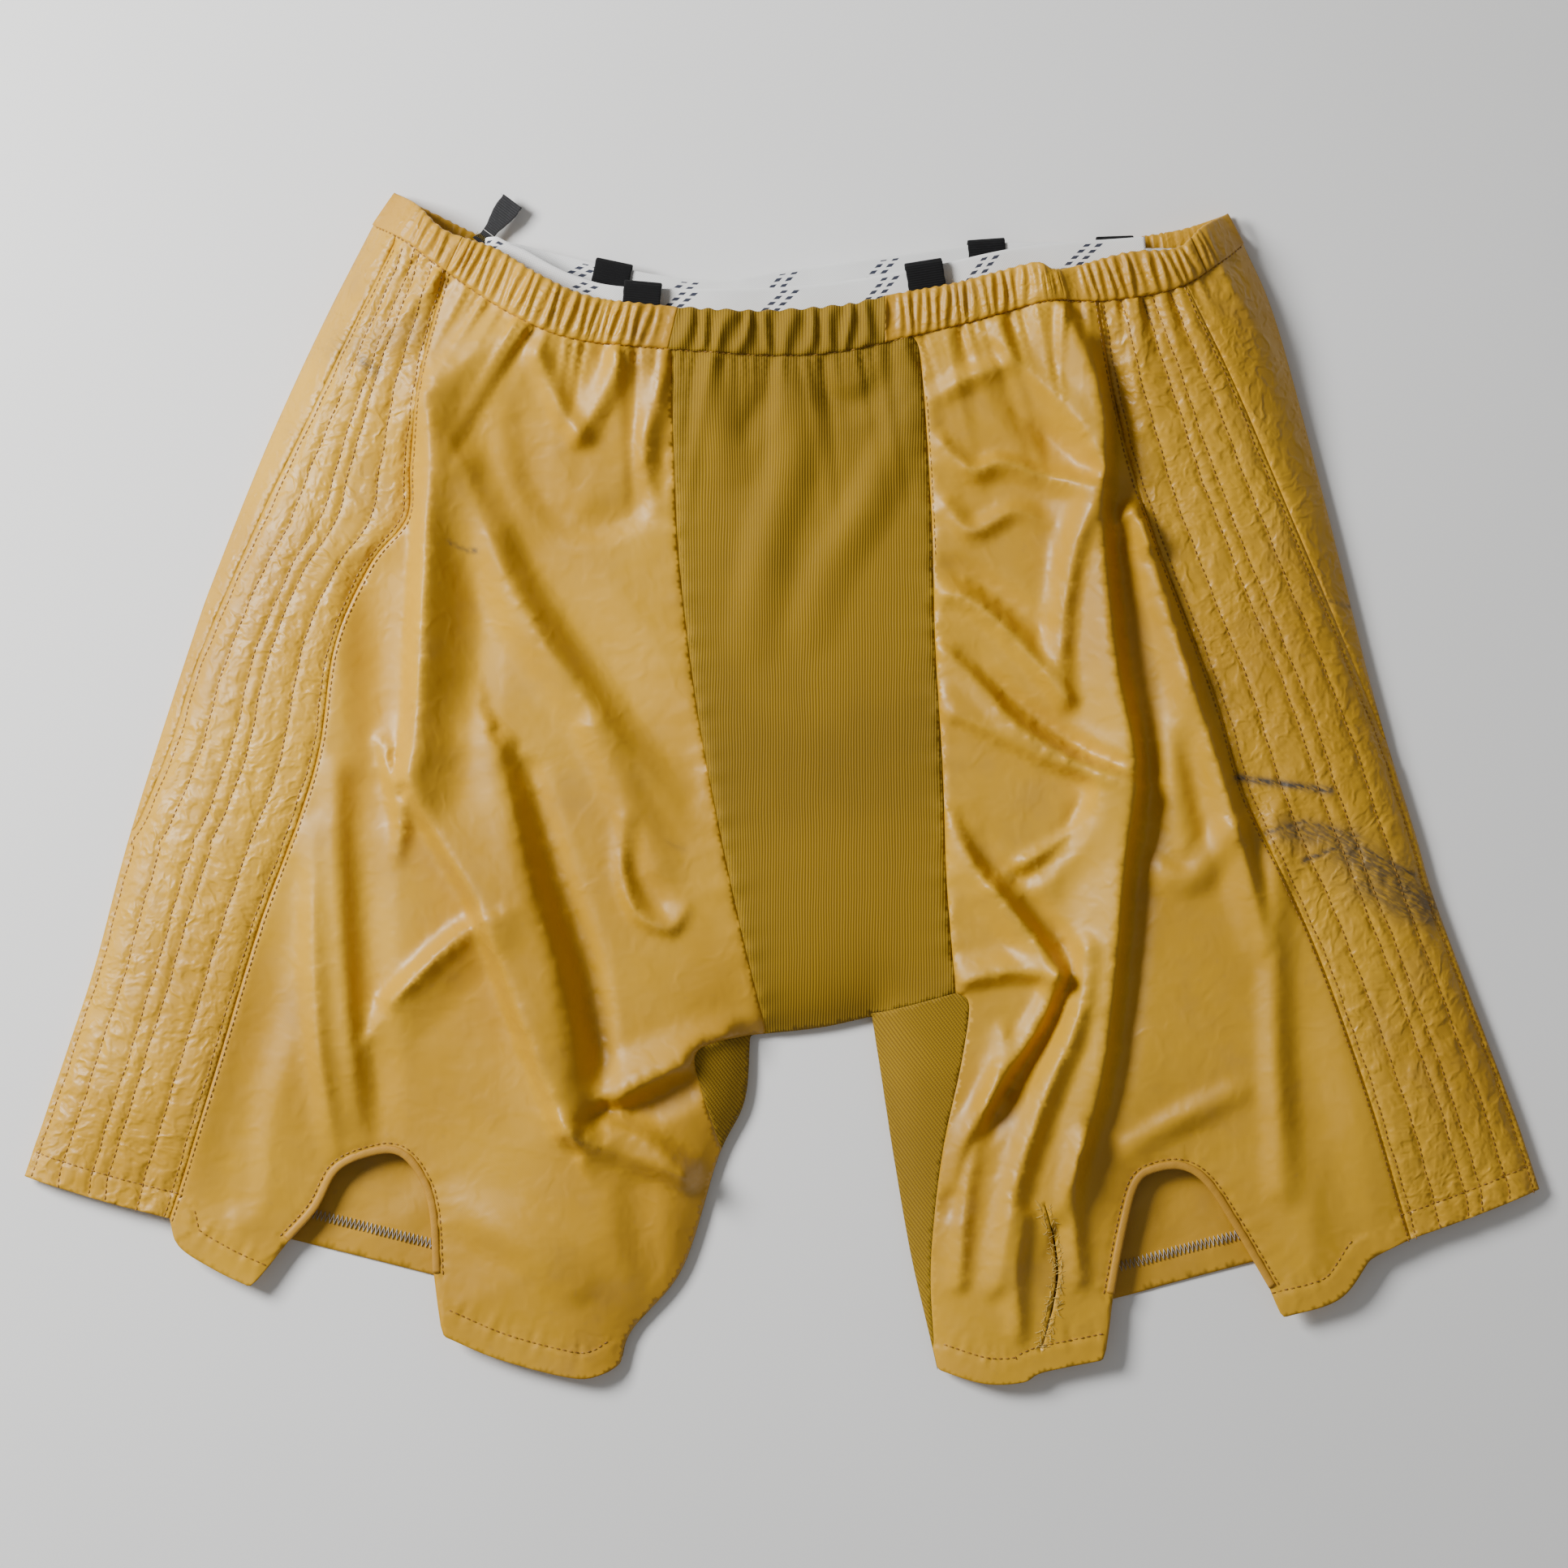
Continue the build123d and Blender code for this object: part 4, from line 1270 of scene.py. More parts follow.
@dataclass
class Surface:
    """The front of the garment as it lies: its outline, its seams and its height over the floor."""

    edge_height: float = 5.0
    waist_height: float = 33.5
    middle_height: float = 23.0
    leg_height: float = 19.0
    hem_height: float = 11.0
    fold_share: float = 1.3
    roof: float = 38.0
    edge_round: float = 17.0
    hem_fold: float = 15.5
    pucker: float = 0.43  # of the stripes, between their rows of stitching
    lookup: BVHTree | None = field(default=None, repr=False)

    def __post_init__(self) -> None:
        """Smooths the plan lines once."""
        self.band_seam = smooth_line(FRONT_BAND_SEAM)
        self.side = each_side(RIGHT_OUTER, LEFT_OUTER)
        self.inner = each_side(RIGHT_INNER, LEFT_INNER)
        self.crotch = smooth_line(CROTCH_EDGE)
        self.gusset_seam = each_side(RIGHT_GUSSET_SEAM, LEFT_GUSSET_SEAM)
        self.stripe_seam = each_side(RIGHT_STRIPE_SEAM, LEFT_STRIPE_SEAM)
        self.side_seam = each_side(RIGHT_SIDE_SEAM, LEFT_SIDE_SEAM)
        self.inner_seam = each_side(RIGHT_INNER_SEAM, LEFT_INNER_SEAM)
        self.crotch_seam = smooth_line(CROTCH_SEAM)
        self.notch = each_side(RIGHT_NOTCH[1:-1], LEFT_NOTCH[1:-1])
        right, left = RIGHT_FRONT_HEM, LEFT_FRONT_HEM
        right_runs = (right[:3], ((-325, -228), (-320, -243), *right[4:6]), right[8:])
        self.hems = {
            Side.RIGHT: [smooth_line(run) for run in right_runs],
            Side.LEFT: [smooth_line(run) for run in (left[:5], left[6:9], left[9:])],
        }
        self.outline = np.vstack([
            self.band_seam, self.side[Side.LEFT], self.hems[Side.LEFT][2][::-1], self.hems[Side.LEFT][1][::-1],
            self.notch[Side.LEFT], self.hems[Side.LEFT][0][::-1], self.inner[Side.LEFT][::-1], self.crotch[::-1],
            self.inner[Side.RIGHT], self.hems[Side.RIGHT][2][::-1], self.notch[Side.RIGHT][::-1],
            self.hems[Side.RIGHT][1][::-1], self.hems[Side.RIGHT][0][::-1], self.side[Side.RIGHT][::-1],
        ])
        keep = np.linalg.norm(np.diff(self.outline, axis=0, append=self.outline[:1]), axis=1) > 0.6
        self.outline = self.outline[keep]

    def stripe_edges(self, side: Side) -> tuple[np.ndarray, np.ndarray]:
        """A stripe's outer and inner lines, from the waist to the hem."""
        seam, edge = self.side_seam[side], self.side[side]
        outer = np.vstack([seam, edge[edge[:, 1] < seam[-1, 1]]])
        return outer, self.stripe_seam[side]

    def stripe_rows(self, side: Side) -> list[np.ndarray]:
        """The rows of lock-stitching down a stripe."""
        outer, inner = self.stripe_edges(side)
        rows = []
        for k, share in enumerate(STRIPE_ROWS):
            y = np.arange(284.0, -246.0, -3.0)
            across = x_of(inner, y) - x_of(outer, y)
            line = np.column_stack([x_of(outer, y) + across * share + 0.5 * waves(y, 50 + k, (60, 23)), y])
            rows.append(line[inside(line, self.outline)])
        return rows

    def height(self, points: np.ndarray) -> np.ndarray:
        """The cloth's broad shape: puffed between its edges, with the folds that lie in it.

        Args:
            points: where, in plan.

        Returns:
            The height over the floor at each point.
        """
        sides = np.minimum.reduce([
            nearest(points, line)[0] for line in (*self.side.values(), *self.inner.values(), self.crotch)
        ])
        hems = np.minimum.reduce([
            nearest(points, line)[0] for line in (*self.hems[Side.RIGHT], *self.hems[Side.LEFT], *self.notch.values())
        ])
        y = points[:, 1]
        puffs = (self.leg_height, self.leg_height, self.middle_height, 25, self.waist_height)
        puff = np.interp(y, (-200, -130, 30, 160, 235), puffs)
        z = self.edge_height + (puff - self.edge_height) * (1 - np.exp(-sides / self.edge_round))
        low = self.edge_height + (self.hem_height - self.edge_height) * (1 - np.exp(-sides / 9))
        z = low + (z - low) * smoothstep(hems / 75) ** 0.8
        folds = np.zeros(len(points))
        for side, table, sign in ((Side.RIGHT, RIGHT_LEG_FOLDS, -1), (Side.LEFT, LEFT_LEG_FOLDS, 1)):
            part = np.zeros(len(points))
            for fold in table:
                fold.add_to(points, part)
            seam = x_of(np.vstack([self.gusset_seam[side], self.inner_seam[side]]), y)
            reach = sign * (points[:, 0] - seam)
            folds += part * smoothstep((reach + 4) / 11)
        for fold in GUSSET_FOLDS:
            fold.add_to(points, folds)
        z = z + self.fold_share * folds * smoothstep(sides / 14) * (0.35 + 0.65 * smoothstep(hems / 34))
        z = np.where(z > self.roof, self.roof + 8 * np.tanh((z - self.roof) / 8), z)
        return np.where(z < 9, 9 + 5 * np.tanh((z - 9) / 5), z)

    def relief(self, points: np.ndarray) -> np.ndarray:
        """The cloth's fine shape: seams, stitched rows, gathers under the waist and turned-up hems.

        Args:
            points: where, in plan.

        Returns:
            What it adds to the height at each point.
        """
        x, y = points[:, 0], points[:, 1]
        z = np.zeros(len(points))
        down, s, _ = nearest(points, self.band_seam)
        middle = (x > x_of(self.gusset_seam[Side.RIGHT], y)) & (x < x_of(self.gusset_seam[Side.LEFT], y))
        near_side = np.minimum(*(nearest(points, line, 40)[0] for line in self.side.values()))
        s = s + 0.16 * down * waves(s, 3, (90, 47, 31))
        fine = waves(s, 5, (6.6, 8.9, 5.4)) * np.exp(-down / 13)
        broad = waves(s, 6, (17, 12.5, 25)) * np.exp(-down / 34)
        gathers = np.where(middle, 0.7, 1.0) * (2.4 * fine + 3.4 * broad) * smoothstep(near_side / 30)
        z += gathers * (0.15 + 0.85 * smoothstep(down / 6))
        for side in Side:
            outer, inner = self.stripe_edges(side)
            span = x_of(inner, y) - x_of(outer, y)
            share = (x - x_of(outer, y)) / span
            on = (share > 0) & (share < 1)
            heading = -118 if side is Side.RIGHT else -62
            cells = np.zeros(len(points))
            knots = (0.0, *STRIPE_ROWS, 1.0)
            other = side is Side.LEFT  # so that the two stripes pucker differently
            for k, (a, b) in enumerate(zip(knots[:-1], knots[1:])):
                t = (share - a) / (b - a)
                cell = (t > 0) & (t < 1)
                bump = np.sin(np.clip(t, 0, 1) * math.pi) ** 0.8
                wave = ripples(points, 100 + 10 * k + other, heading, 50, (11, 30))
                crease = 1 - 1.9 * np.abs(ripples(points, 140 + 10 * k + other, heading, 62, (12, 34)))
                size = 0.35 + 0.65 * min(1.0, (b - a) * 6)
                cells += cell * bump * (0.3 + 0.8 * np.tanh(wave) + 0.75 * np.clip(crease, 0, 1)) * size
            z += on * cells * self.pucker
            for row in (*self.stripe_rows(side), self.stripe_seam[side], self.side_seam[side]):
                z -= 0.9 * np.exp(-(nearest(points, row[::2], 6)[0] / 1.5) ** 2)
            seam_gap, along, _ = nearest(points, self.gusset_seam[side], 30)
            z -= (0.9 + 0.5 * waves(along, 21, (14, 22))) * np.exp(-(seam_gap / 1.8) ** 2)
            z += 0.8 * waves(along, 22, (12, 19, 31)) * np.exp(-seam_gap / 7)
            for hem in self.hems[side]:
                gap, along, _ = nearest(points, hem, 45)
                drawn = waves(along, 31, (7, 10, 15)) * np.exp(-((gap - self.hem_fold) / 7) ** 2)
                z += 0.55 * (gap < self.hem_fold) + 0.5 * drawn
                z -= 0.8 * np.exp(-((gap - self.hem_fold + 1.5) / 1.2) ** 2)
            gap, along, _ = nearest(points, self.notch[side], 45)
            z += 0.5 * waves(along, 41, (8, 13)) * np.exp(-gap / 8) - 0.5 * np.exp(-((gap - 5) / 1.2) ** 2)
        return z

    def rest_on(self, line: np.ndarray, lift: float) -> np.ndarray:
        """A line in plan laid on the finished cloth, a little above it."""
        return lay_on(self.lookup, line, lift)


@dataclass
class FrontCloth:
    """The front of the garment, made as one sheet, wrinkled, and then cut into its sewn panels."""

    surface: Surface
    finishes: Finishes
    pitch: float = 4.3
    stripe_pitch: float = 3.4
    cloth_thickness: float = 0.45
    growth: float = 0.042
    knit_slack: float = 0.12
    frames: int = 16
    cap: float = 5.0
    panels: dict[Region, bpy.types.Object] = field(default_factory=dict)

    def regions(self, points: np.ndarray) -> np.ndarray:
        """Which Region, by its number in the Enum, each point in plan is in."""
        s, x, y = self.surface, points[:, 0], points[:, 1]
        out = np.full(len(points), Region.LEFT_SIDE.number)
        left_outer, left_inner = s.stripe_edges(Side.LEFT)
        right_outer, right_inner = s.stripe_edges(Side.RIGHT)
        above = y > np.where(x < 48, -400.0, y_of(s.crotch_seam, x))
        low_right = y < -131
        leg_seam = x_of(s.inner_seam[Side.LEFT], y)
        steps = [
            (Region.LEFT_STRIPE, x < x_of(left_outer, y) + 1e-6),
            (Region.LEFT_FRONT, x < x_of(left_inner, y)),
            (Region.LEFT_INNER, ~above & (x < leg_seam) & (y < -108)),
            (Region.GUSSET, above & (x < x_of(s.gusset_seam[Side.LEFT], y)) & (y > -132)),
            (Region.RIGHT_INNER, (x < 10) & low_right),
            (Region.RIGHT_FRONT, (x < x_of(s.gusset_seam[Side.RIGHT], y)) & ~low_right),
            (Region.RIGHT_FRONT, (x < x_of(s.inner_seam[Side.RIGHT], y)) & low_right),
            (Region.RIGHT_STRIPE, x < x_of(right_inner, y)),
            (Region.RIGHT_SIDE, x < x_of(right_outer, y)),
        ]
        for region, where in steps:
            out[where] = region.number
        return out

    def within(self, points: np.ndarray, wanted: Sequence[Region]) -> np.ndarray:
        """Which points in plan are in one of the wanted regions."""
        return np.isin(self.regions(points), [region.number for region in wanted])

    def material(self, region: Region) -> bpy.types.Material:
        """The finish that a region is dressed in."""
        f = self.finishes
        if region in KNITS:
            return f.knit if region is Region.GUSSET else f.knit_inner
        if region in (Region.RIGHT_FRONT, Region.LEFT_FRONT):
            return f.front_nylon
        return f.stripe_nylon

    def tear_hole(self) -> np.ndarray:
        """The narrow opening of the torn place, as a closed polygon."""
        line = smooth_line(TEAR, 2.5)
        gap = 0.6 * np.sin(np.linspace(0.12, math.pi - 0.08, len(line)))
        gap = np.maximum(gap + 0.3 * waves(np.arange(len(line)) * 2.5, 77, (9, 5)), 0.25)
        left = line - np.column_stack([gap, 0 * gap])
        right = line + np.column_stack([gap * 0.8, 0 * gap])
        return np.vstack([left, right[::-1]])

    def sheet_mesh(self) -> bpy.types.Object:
        """The whole front as one mesh of triangles, lifted to its folds."""
        s = self.surface
        seams = [*s.gusset_seam.values(), *s.stripe_seam.values(), *s.side_seam.values(), *s.inner_seam.values()]
        seams.append(s.crotch_seam[s.crotch_seam[:, 0] > 49])
        rows = [row for side in Side for row in s.stripe_rows(side)]
        edge = closed(s.outline)
        lines = [line[inside(line, s.outline) & (nearest(line, edge)[0] > 1.2)] for line in (*seams, *rows)]
        box = s.outline.min(0), s.outline.max(0)
        coarse, fine = hex_points(*box, self.pitch, 1), hex_points(*box, self.stripe_pitch, 2)
        striped = (Region.RIGHT_STRIPE, Region.LEFT_STRIPE)
        fill = np.vstack([coarse[~self.within(coarse, striped)], fine[self.within(fine, striped)]])
        fill = fill[inside(fill, s.outline)]
        hole = self.tear_hole()
        clear = np.minimum.reduce([nearest(fill, line[::2], 6)[0] for line in lines])
        rim = nearest(fill, edge[::2], 6)[0]
        slit = nearest(fill, hole, 6)[0]
        fill = fill[(clear > 1.7) & (rim > 2.0) & (slit > 1.6)]
        fill = self.with_crests(fill, [*lines, hole, edge])
        verts, faces = triangulate(s.outline, [hole], lines, fill)
        used, faces = np.unique(faces, return_inverse=True)
        verts, faces = verts[used], faces.reshape(-1, 3)
        z = s.height(verts)
        obj = make_object("front_sheet", np.column_stack([verts, z]), faces, self.material(Region.GUSSET))
        regions = self.regions(verts[faces].mean(axis=1))
        for region in list(Region)[1:]:
            obj.data.materials.append(self.material(region))
        obj.data.polygons.foreach_set("material_index", regions.astype(np.int32))
        self.crease_seams(obj)
        held = np.minimum.reduce([nearest(verts, line, 3)[0] for line in (*lines, s.band_seam)]) < 0.5
        rim = nearest(verts, edge, 3)[0] < 0.5
        group = obj.vertex_groups.new(name="held")
        group.add([int(i) for i in np.flatnonzero(held | rim)], 1.0, "REPLACE")
        knit = self.within(verts, KNITS)
        slack = obj.vertex_groups.new(name="slack")
        slack.add([int(i) for i in np.flatnonzero(~knit)], 1.0, "REPLACE")
        slack.add([int(i) for i in np.flatnonzero(knit)], self.knit_slack, "REPLACE")
        return obj

    def with_crests(self, fill: np.ndarray, lines: Sequence[np.ndarray]) -> np.ndarray:
        """The fill points, with rows of points along the folds' crests in place of those beside them."""
        folds = [f for f in (*RIGHT_LEG_FOLDS, *LEFT_LEG_FOLDS) if max(abs(p[2]) for p in f.crest) >= 5]
        rows = np.vstack([smooth_line(f.crest, 3.4)[:, :2] for f in folds])
        clear = np.minimum.reduce([nearest(rows, line[::2], 6)[0] for line in lines])
        rows = rows[(clear > 2.6) & inside(rows, self.surface.outline)]
        kept: list[np.ndarray] = []
        for point in rows:
            if not kept or np.hypot(*(np.array(kept) - point).T).min() > 2.4:
                kept.append(point)
        rows = np.array(kept)
        gap = np.array([np.hypot(rows[:, 0] - x, rows[:, 1] - y).min() for x, y in fill])
        return np.vstack([fill[gap > 2.5], rows])

    @staticmethod
    def crease_seams(obj: bpy.types.Object) -> None:
        """Keeps the seams' own line when the mesh is subdivided."""
        mesh = obj.data
        beside: dict[tuple[int, int], set[int]] = {}
        for face in mesh.polygons:
            for key in face.edge_keys:
                beside.setdefault(key, set()).add(face.material_index)
        crease = mesh.attributes.new("crease_edge", "FLOAT", "EDGE")
        between = [len(beside.get(tuple(sorted(edge.vertices)), ())) > 1 for edge in mesh.edges]
        crease.data.foreach_set("value", [float(sewn) for sewn in between])

    def wrinkle(self, obj: bpy.types.Object) -> None:
        """Lets the slack cloth between the seams buckle a little, by a short cloth simulation.

        Args:
            obj: the sheet, whose points are moved.
        """
        before = np.array([v.co for v in obj.data.vertices])
        cloth = obj.modifiers.new("Cloth", "CLOTH")
        settings = cloth.settings
        settings.quality, settings.mass = 5, 0.15
        settings.tension_stiffness = settings.compression_stiffness = 12.0
        settings.shear_stiffness, settings.bending_stiffness = 4.0, 0.35
        settings.tension_damping = settings.compression_damping = settings.shear_damping = 4.0
        settings.air_damping = 3.0
        settings.vertex_group_mass = "held"
        settings.vertex_group_shrink = "slack"
        settings.shrink_min, settings.shrink_max = 0.0, -self.growth
        settings.effector_weights.gravity = 0.0
        cloth.point_cache.frame_start, cloth.point_cache.frame_end = 1, self.frames
        scene = bpy.context.scene
        for frame in range(1, self.frames + 1):
            scene.frame_set(frame)
        graph = bpy.context.evaluated_depsgraph_get()
        mesh = bpy.data.meshes.new_from_object(obj.evaluated_get(graph), depsgraph=graph)
        after = np.array([v.co for v in mesh.vertices])
        bpy.data.meshes.remove(mesh)
        obj.modifiers.clear()
        scene.frame_set(1)
        moved = after - before
        size = np.linalg.norm(moved, axis=1, keepdims=True)
        limit = self.cap * MM
        moved *= np.where(size > 0, limit * np.tanh(size / limit) / np.maximum(size, 1e-9), 0)
        obj.data.vertices.foreach_set("co", (before + moved).ravel())
        obj.data.update()
        LOG.info("front sheet wrinkled: up to %.1f mm", float(size.max()) / MM)

    def scuff_marks(self, points: np.ndarray) -> np.ndarray:
        """How dark the marks of use are at points in plan, from 0 to 1."""
        marks = (
            (((240, 6), (262, 3), (290, -1)), 2.2, 1.0), (((266, -22), (284, -24), (302, -27)), 6.5, 0.72),
            (((256, -23), (276, -17), (304, -25)), 1.6, 0.85), (((300, -34), (318, -44), (342, -62)), 10.0, 0.8),
            (((276, -38), (300, -28), (336, -46)), 1.8, 0.9), (((306, -50), (326, -62), (344, -68)), 7.0, 0.66),
            (((-221, 226), (-217, 222), (-214, 220)), 3.4, 0.7), (((-236, 232), (-214, 236), (-196, 240)), 9.0, 0.22),
            (((-176, 130), (-170, 127), (-163, 125)), 0.9, 0.6), (((-163, 126), (-161, 125.5)), 1.3, 0.8),
            (((290, 100), (300, 97), (308, 96)), 1.0, 0.6), (((-60, -28), (-52, -32)), 2.0, 0.2),
        )
        dark = np.zeros(len(points))
        for line, reach, amount in marks:
            gap = nearest(points, np.asarray(line, float), 4 * reach)[0]
            dark = np.maximum(dark, amount * np.exp(-(gap / reach) ** 2))
        return dark

    def build(self) -> None:
        """Makes the sheet, wrinkles it, cuts it into panels and gives them their thickness."""
        whole = self.sheet_mesh()
        self.wrinkle(whole)
        smooth = whole.modifiers.new("Subdivide", "SUBSURF")
        smooth.levels = smooth.render_levels = 1
        smooth.boundary_smooth = "PRESERVE_CORNERS"
        bake_modifiers(whole)
        mesh = whole.data
        verts = np.empty(len(mesh.vertices) * 3)
        mesh.vertices.foreach_get("co", verts)
        verts = verts.reshape(-1, 3) / MM
        verts[:, 2] = np.maximum(verts[:, 2] + self.surface.relief(verts[:, :2]), 3.6)
        index = np.empty(len(mesh.polygons), np.int32)
        mesh.polygons.foreach_get("material_index", index)
        faces = np.array([tuple(p.vertices) for p in mesh.polygons])
        self.surface.lookup = BVHTree.FromPolygons((verts * MM).tolist(), faces.tolist())
        bpy.data.objects.remove(whole)
        for number, region in enumerate(Region):
            part = faces[index == number]
            used, local = np.unique(part, return_inverse=True)
            points = verts[used]
            obj = make_object(f"{region.value}_cloth", points, local.reshape(-1, 4), self.material(region))
            if region not in KNITS:
                scuff = obj.data.attributes.new("scuff", "FLOAT", "POINT")
                scuff.data.foreach_set("value", self.scuff_marks(points[:, :2]).astype(np.float32))
            self.panels[region] = thicken(obj, self.cloth_thickness, levels=0)


@dataclass
class BackCloth:
    """The back of the garment: two nylon panels, the knit column and the inner leg pieces, lying flat."""

    surface: Surface
    finishes: Finishes
    pitch: float = 6.5
    rest_height: float = 0.9
    cloth_thickness: float = 0.45
    band_drop: float = 19.0
    hem_fold: float = 16.0
    lookup: BVHTree | None = None
    panels: dict[str, bpy.types.Object] = field(default_factory=dict)

    def outline(self) -> np.ndarray:
        """The back's closed outline in plan."""
        s = self.surface
        waist = smooth_line(BACK_WAIST)
        waist[:, 1] -= self.band_drop * smoothstep((waist[:, 0] + 208) / 14) * smoothstep((238 - waist[:, 0]) / 14)
        hems = [smooth_line(line) for line in (LEFT_BACK_HEM, RIGHT_BACK_HEM)]
        return np.vstack([
            waist, s.side[Side.LEFT], hems[0][::-1], s.inner[Side.LEFT][::-1], s.crotch[::-1], s.inner[Side.RIGHT],
            hems[1][::-1], s.side[Side.RIGHT][::-1],
        ])

    def height(self, points: np.ndarray, outline: np.ndarray) -> np.ndarray:
        """Flat on the floor, turned up to the front at the outer and inner edges."""
        s = self.surface
        sides = np.minimum.reduce([
            nearest(points, line)[0] for line in (*s.side.values(), *s.inner.values(), s.crotch)
        ])
        rim = nearest(points, closed(outline)[::3])[0]
        z = self.rest_height + (s.edge_height - self.rest_height) * np.exp(-sides / 7)
        soft = 0.7 * (1 + ripples(points, 301, 20, 90, (24, 60))) * smoothstep(rim / 25)
        hem = np.minimum(*(nearest(points, smooth_line(line))[0] for line in (LEFT_BACK_HEM, RIGHT_BACK_HEM)))
        drawn = waves(points[:, 0], 33, (9, 14)) * np.exp(-((hem - self.hem_fold) / 8) ** 2)
        return np.maximum(z + soft + 0.5 * (hem < self.hem_fold) + 0.5 * drawn, 0.6)

    def build(self) -> None:
        """Makes the back's panels."""
        s, f = self.surface, self.finishes
        outline = self.outline()
        fill = hex_points(outline.min(0), outline.max(0), self.pitch, 9)
        rim = nearest(fill, closed(outline)[::2])[0]
        fill = fill[inside(fill, outline) & (rim > 3)]
        seam_x = {Side.RIGHT: -52.0, Side.LEFT: 62.0}
        seams = [np.column_stack([np.full(60, x), np.linspace(243, -122, 60)]) for x in seam_x.values()]
        fill = fill[np.minimum(*(nearest(fill, line)[0] for line in seams)) > 2.5]
        verts, faces = triangulate(outline, [], seams, fill)
        used, faces = np.unique(faces, return_inverse=True)
        verts, faces = verts[used], faces.reshape(-1, 3)
        points = np.column_stack([verts, self.height(verts, outline)])
        self.lookup = BVHTree.FromPolygons((points * MM).tolist(), faces.tolist())
        middle = verts[faces].mean(axis=1)
        x, y = middle.T
        upper = y > -122
        inner_right = ~upper & (x > x_of(s.inner[Side.RIGHT], y) - 34) & (x < 20)
        inner_left = ~upper & (x < x_of(s.inner[Side.LEFT], y) + 30) & (x > 20)
        gusset = upper & (x > seam_x[Side.RIGHT]) & (x < seam_x[Side.LEFT])
        right = ~(inner_right | gusset) & (x < 10)
        left = ~(right | inner_left | inner_right | gusset)
        parts = {
            "right_back_panel": (right, f.back_nylon), "left_back_panel": (left, f.back_nylon),
            "back_gusset": (gusset, f.knit), "right_inner_back": (inner_right, f.knit_inner),
            "left_inner_back": (inner_left, f.knit_inner),
        }
        for name, (where, material) in parts.items():
            used, local = np.unique(faces[where], return_inverse=True)
            obj = make_object(f"{name}_sheet", points[used], local.reshape(-1, 3), material)
            self.panels[name] = thicken(obj, self.cloth_thickness)


def join_into(name: str, objects: Sequence[bpy.types.Object]) -> bpy.types.Object:
    """Joins plain mesh objects into one with this name, each keeping its material."""
    bpy.ops.object.select_all(action="DESELECT")
    for obj in objects:
        obj.select_set(True)
    bpy.context.view_layer.objects.active = objects[0]
    bpy.ops.object.join()
    joined = objects[0]
    joined.name = joined.data.name = name
    return joined


@dataclass(frozen=True)
class Cut:
    """The flat size that a piece of cloth is cut to, in metres and square metres, and how it is held."""

    width: float
    length: float
    area: float
    held: str = "laid"

    def declare(self, obj: bpy.types.Object, rests_on: Sequence[bpy.types.Object] = ()) -> None:
        made = sum(p.area for p in obj.data.polygons) / 2
        LOG.info("%s: %.4f m2 of cloth, cut from %.4f m2", obj.name, made, self.area)


CUTS: dict[str, Cut] = {
    "right_front_panel": Cut(0.30, 0.53, 0.128), "left_front_panel": Cut(0.27, 0.53, 0.111),
    "right_stripe_panel": Cut(0.085, 0.56, 0.040), "left_stripe_panel": Cut(0.085, 0.56, 0.040),
    "right_back_panel": Cut(0.42, 0.58, 0.149), "left_back_panel": Cut(0.42, 0.58, 0.146),
    "right_inner_leg_gusset": Cut(0.075, 0.17, 0.0073), "left_inner_leg_gusset": Cut(0.07, 0.19, 0.0102),
    "front_gusset": Cut(0.145, 0.37, 0.046), "back_gusset": Cut(0.125, 0.38, 0.043),
}


@dataclass
class Legs:
    """The cloth of the garment: the panels of each leg, and the gussets, which go on the shell."""

    front: FrontCloth
    back: BackCloth

    def attach(self) -> None:
        """Joins what is sewn as one piece, hides the CAD nodes that each sheet stands for, puts the gussets on the
        shell and logs each sheet's cloth area against its cut.
        """
        front, back = self.front.panels, self.back.panels
        for side in Side:
            name = side.value
            sewn = {kind: front[Region[f"{side.name}_{kind}"]] for kind in ("SIDE", "INNER", "STRIPE", "FRONT")}
            pieces = {
                "back_panel": join_into(f"{name}_back_panel_cloth", [back[f"{name}_back_panel"], sewn["SIDE"]]),
                "inner_leg_gusset": join_into(
                    f"{name}_inner_leg_gusset_knit", [sewn["INNER"], back[f"{name}_inner_back"]]
                ),
                "stripe_panel": sewn["STRIPE"],
                "front_panel": sewn["FRONT"],
            }
            for kind, obj in pieces.items():
                slot = "mustard_knit" if kind == "inner_leg_gusset" else "gold_nylon"
                base = f"{name}_{kind}"
                crosses_fold(obj, side, slot, f"{base}_upper", f"{base}_lower")
                CUTS[base].declare(obj, [] if kind == "back_panel" else [pieces["back_panel"]])
        gussets = {"back_gusset": back["back_gusset"], "front_gusset": front[Region.GUSSET]}
        for name, obj in gussets.items():
            obj.name = obj.data.name = f"{name}_knit"
            belongs(obj, SHELL, "mustard_knit", name)
            CUTS[name].declare(obj, [gussets["back_gusset"]] if name == "front_gusset" else [])


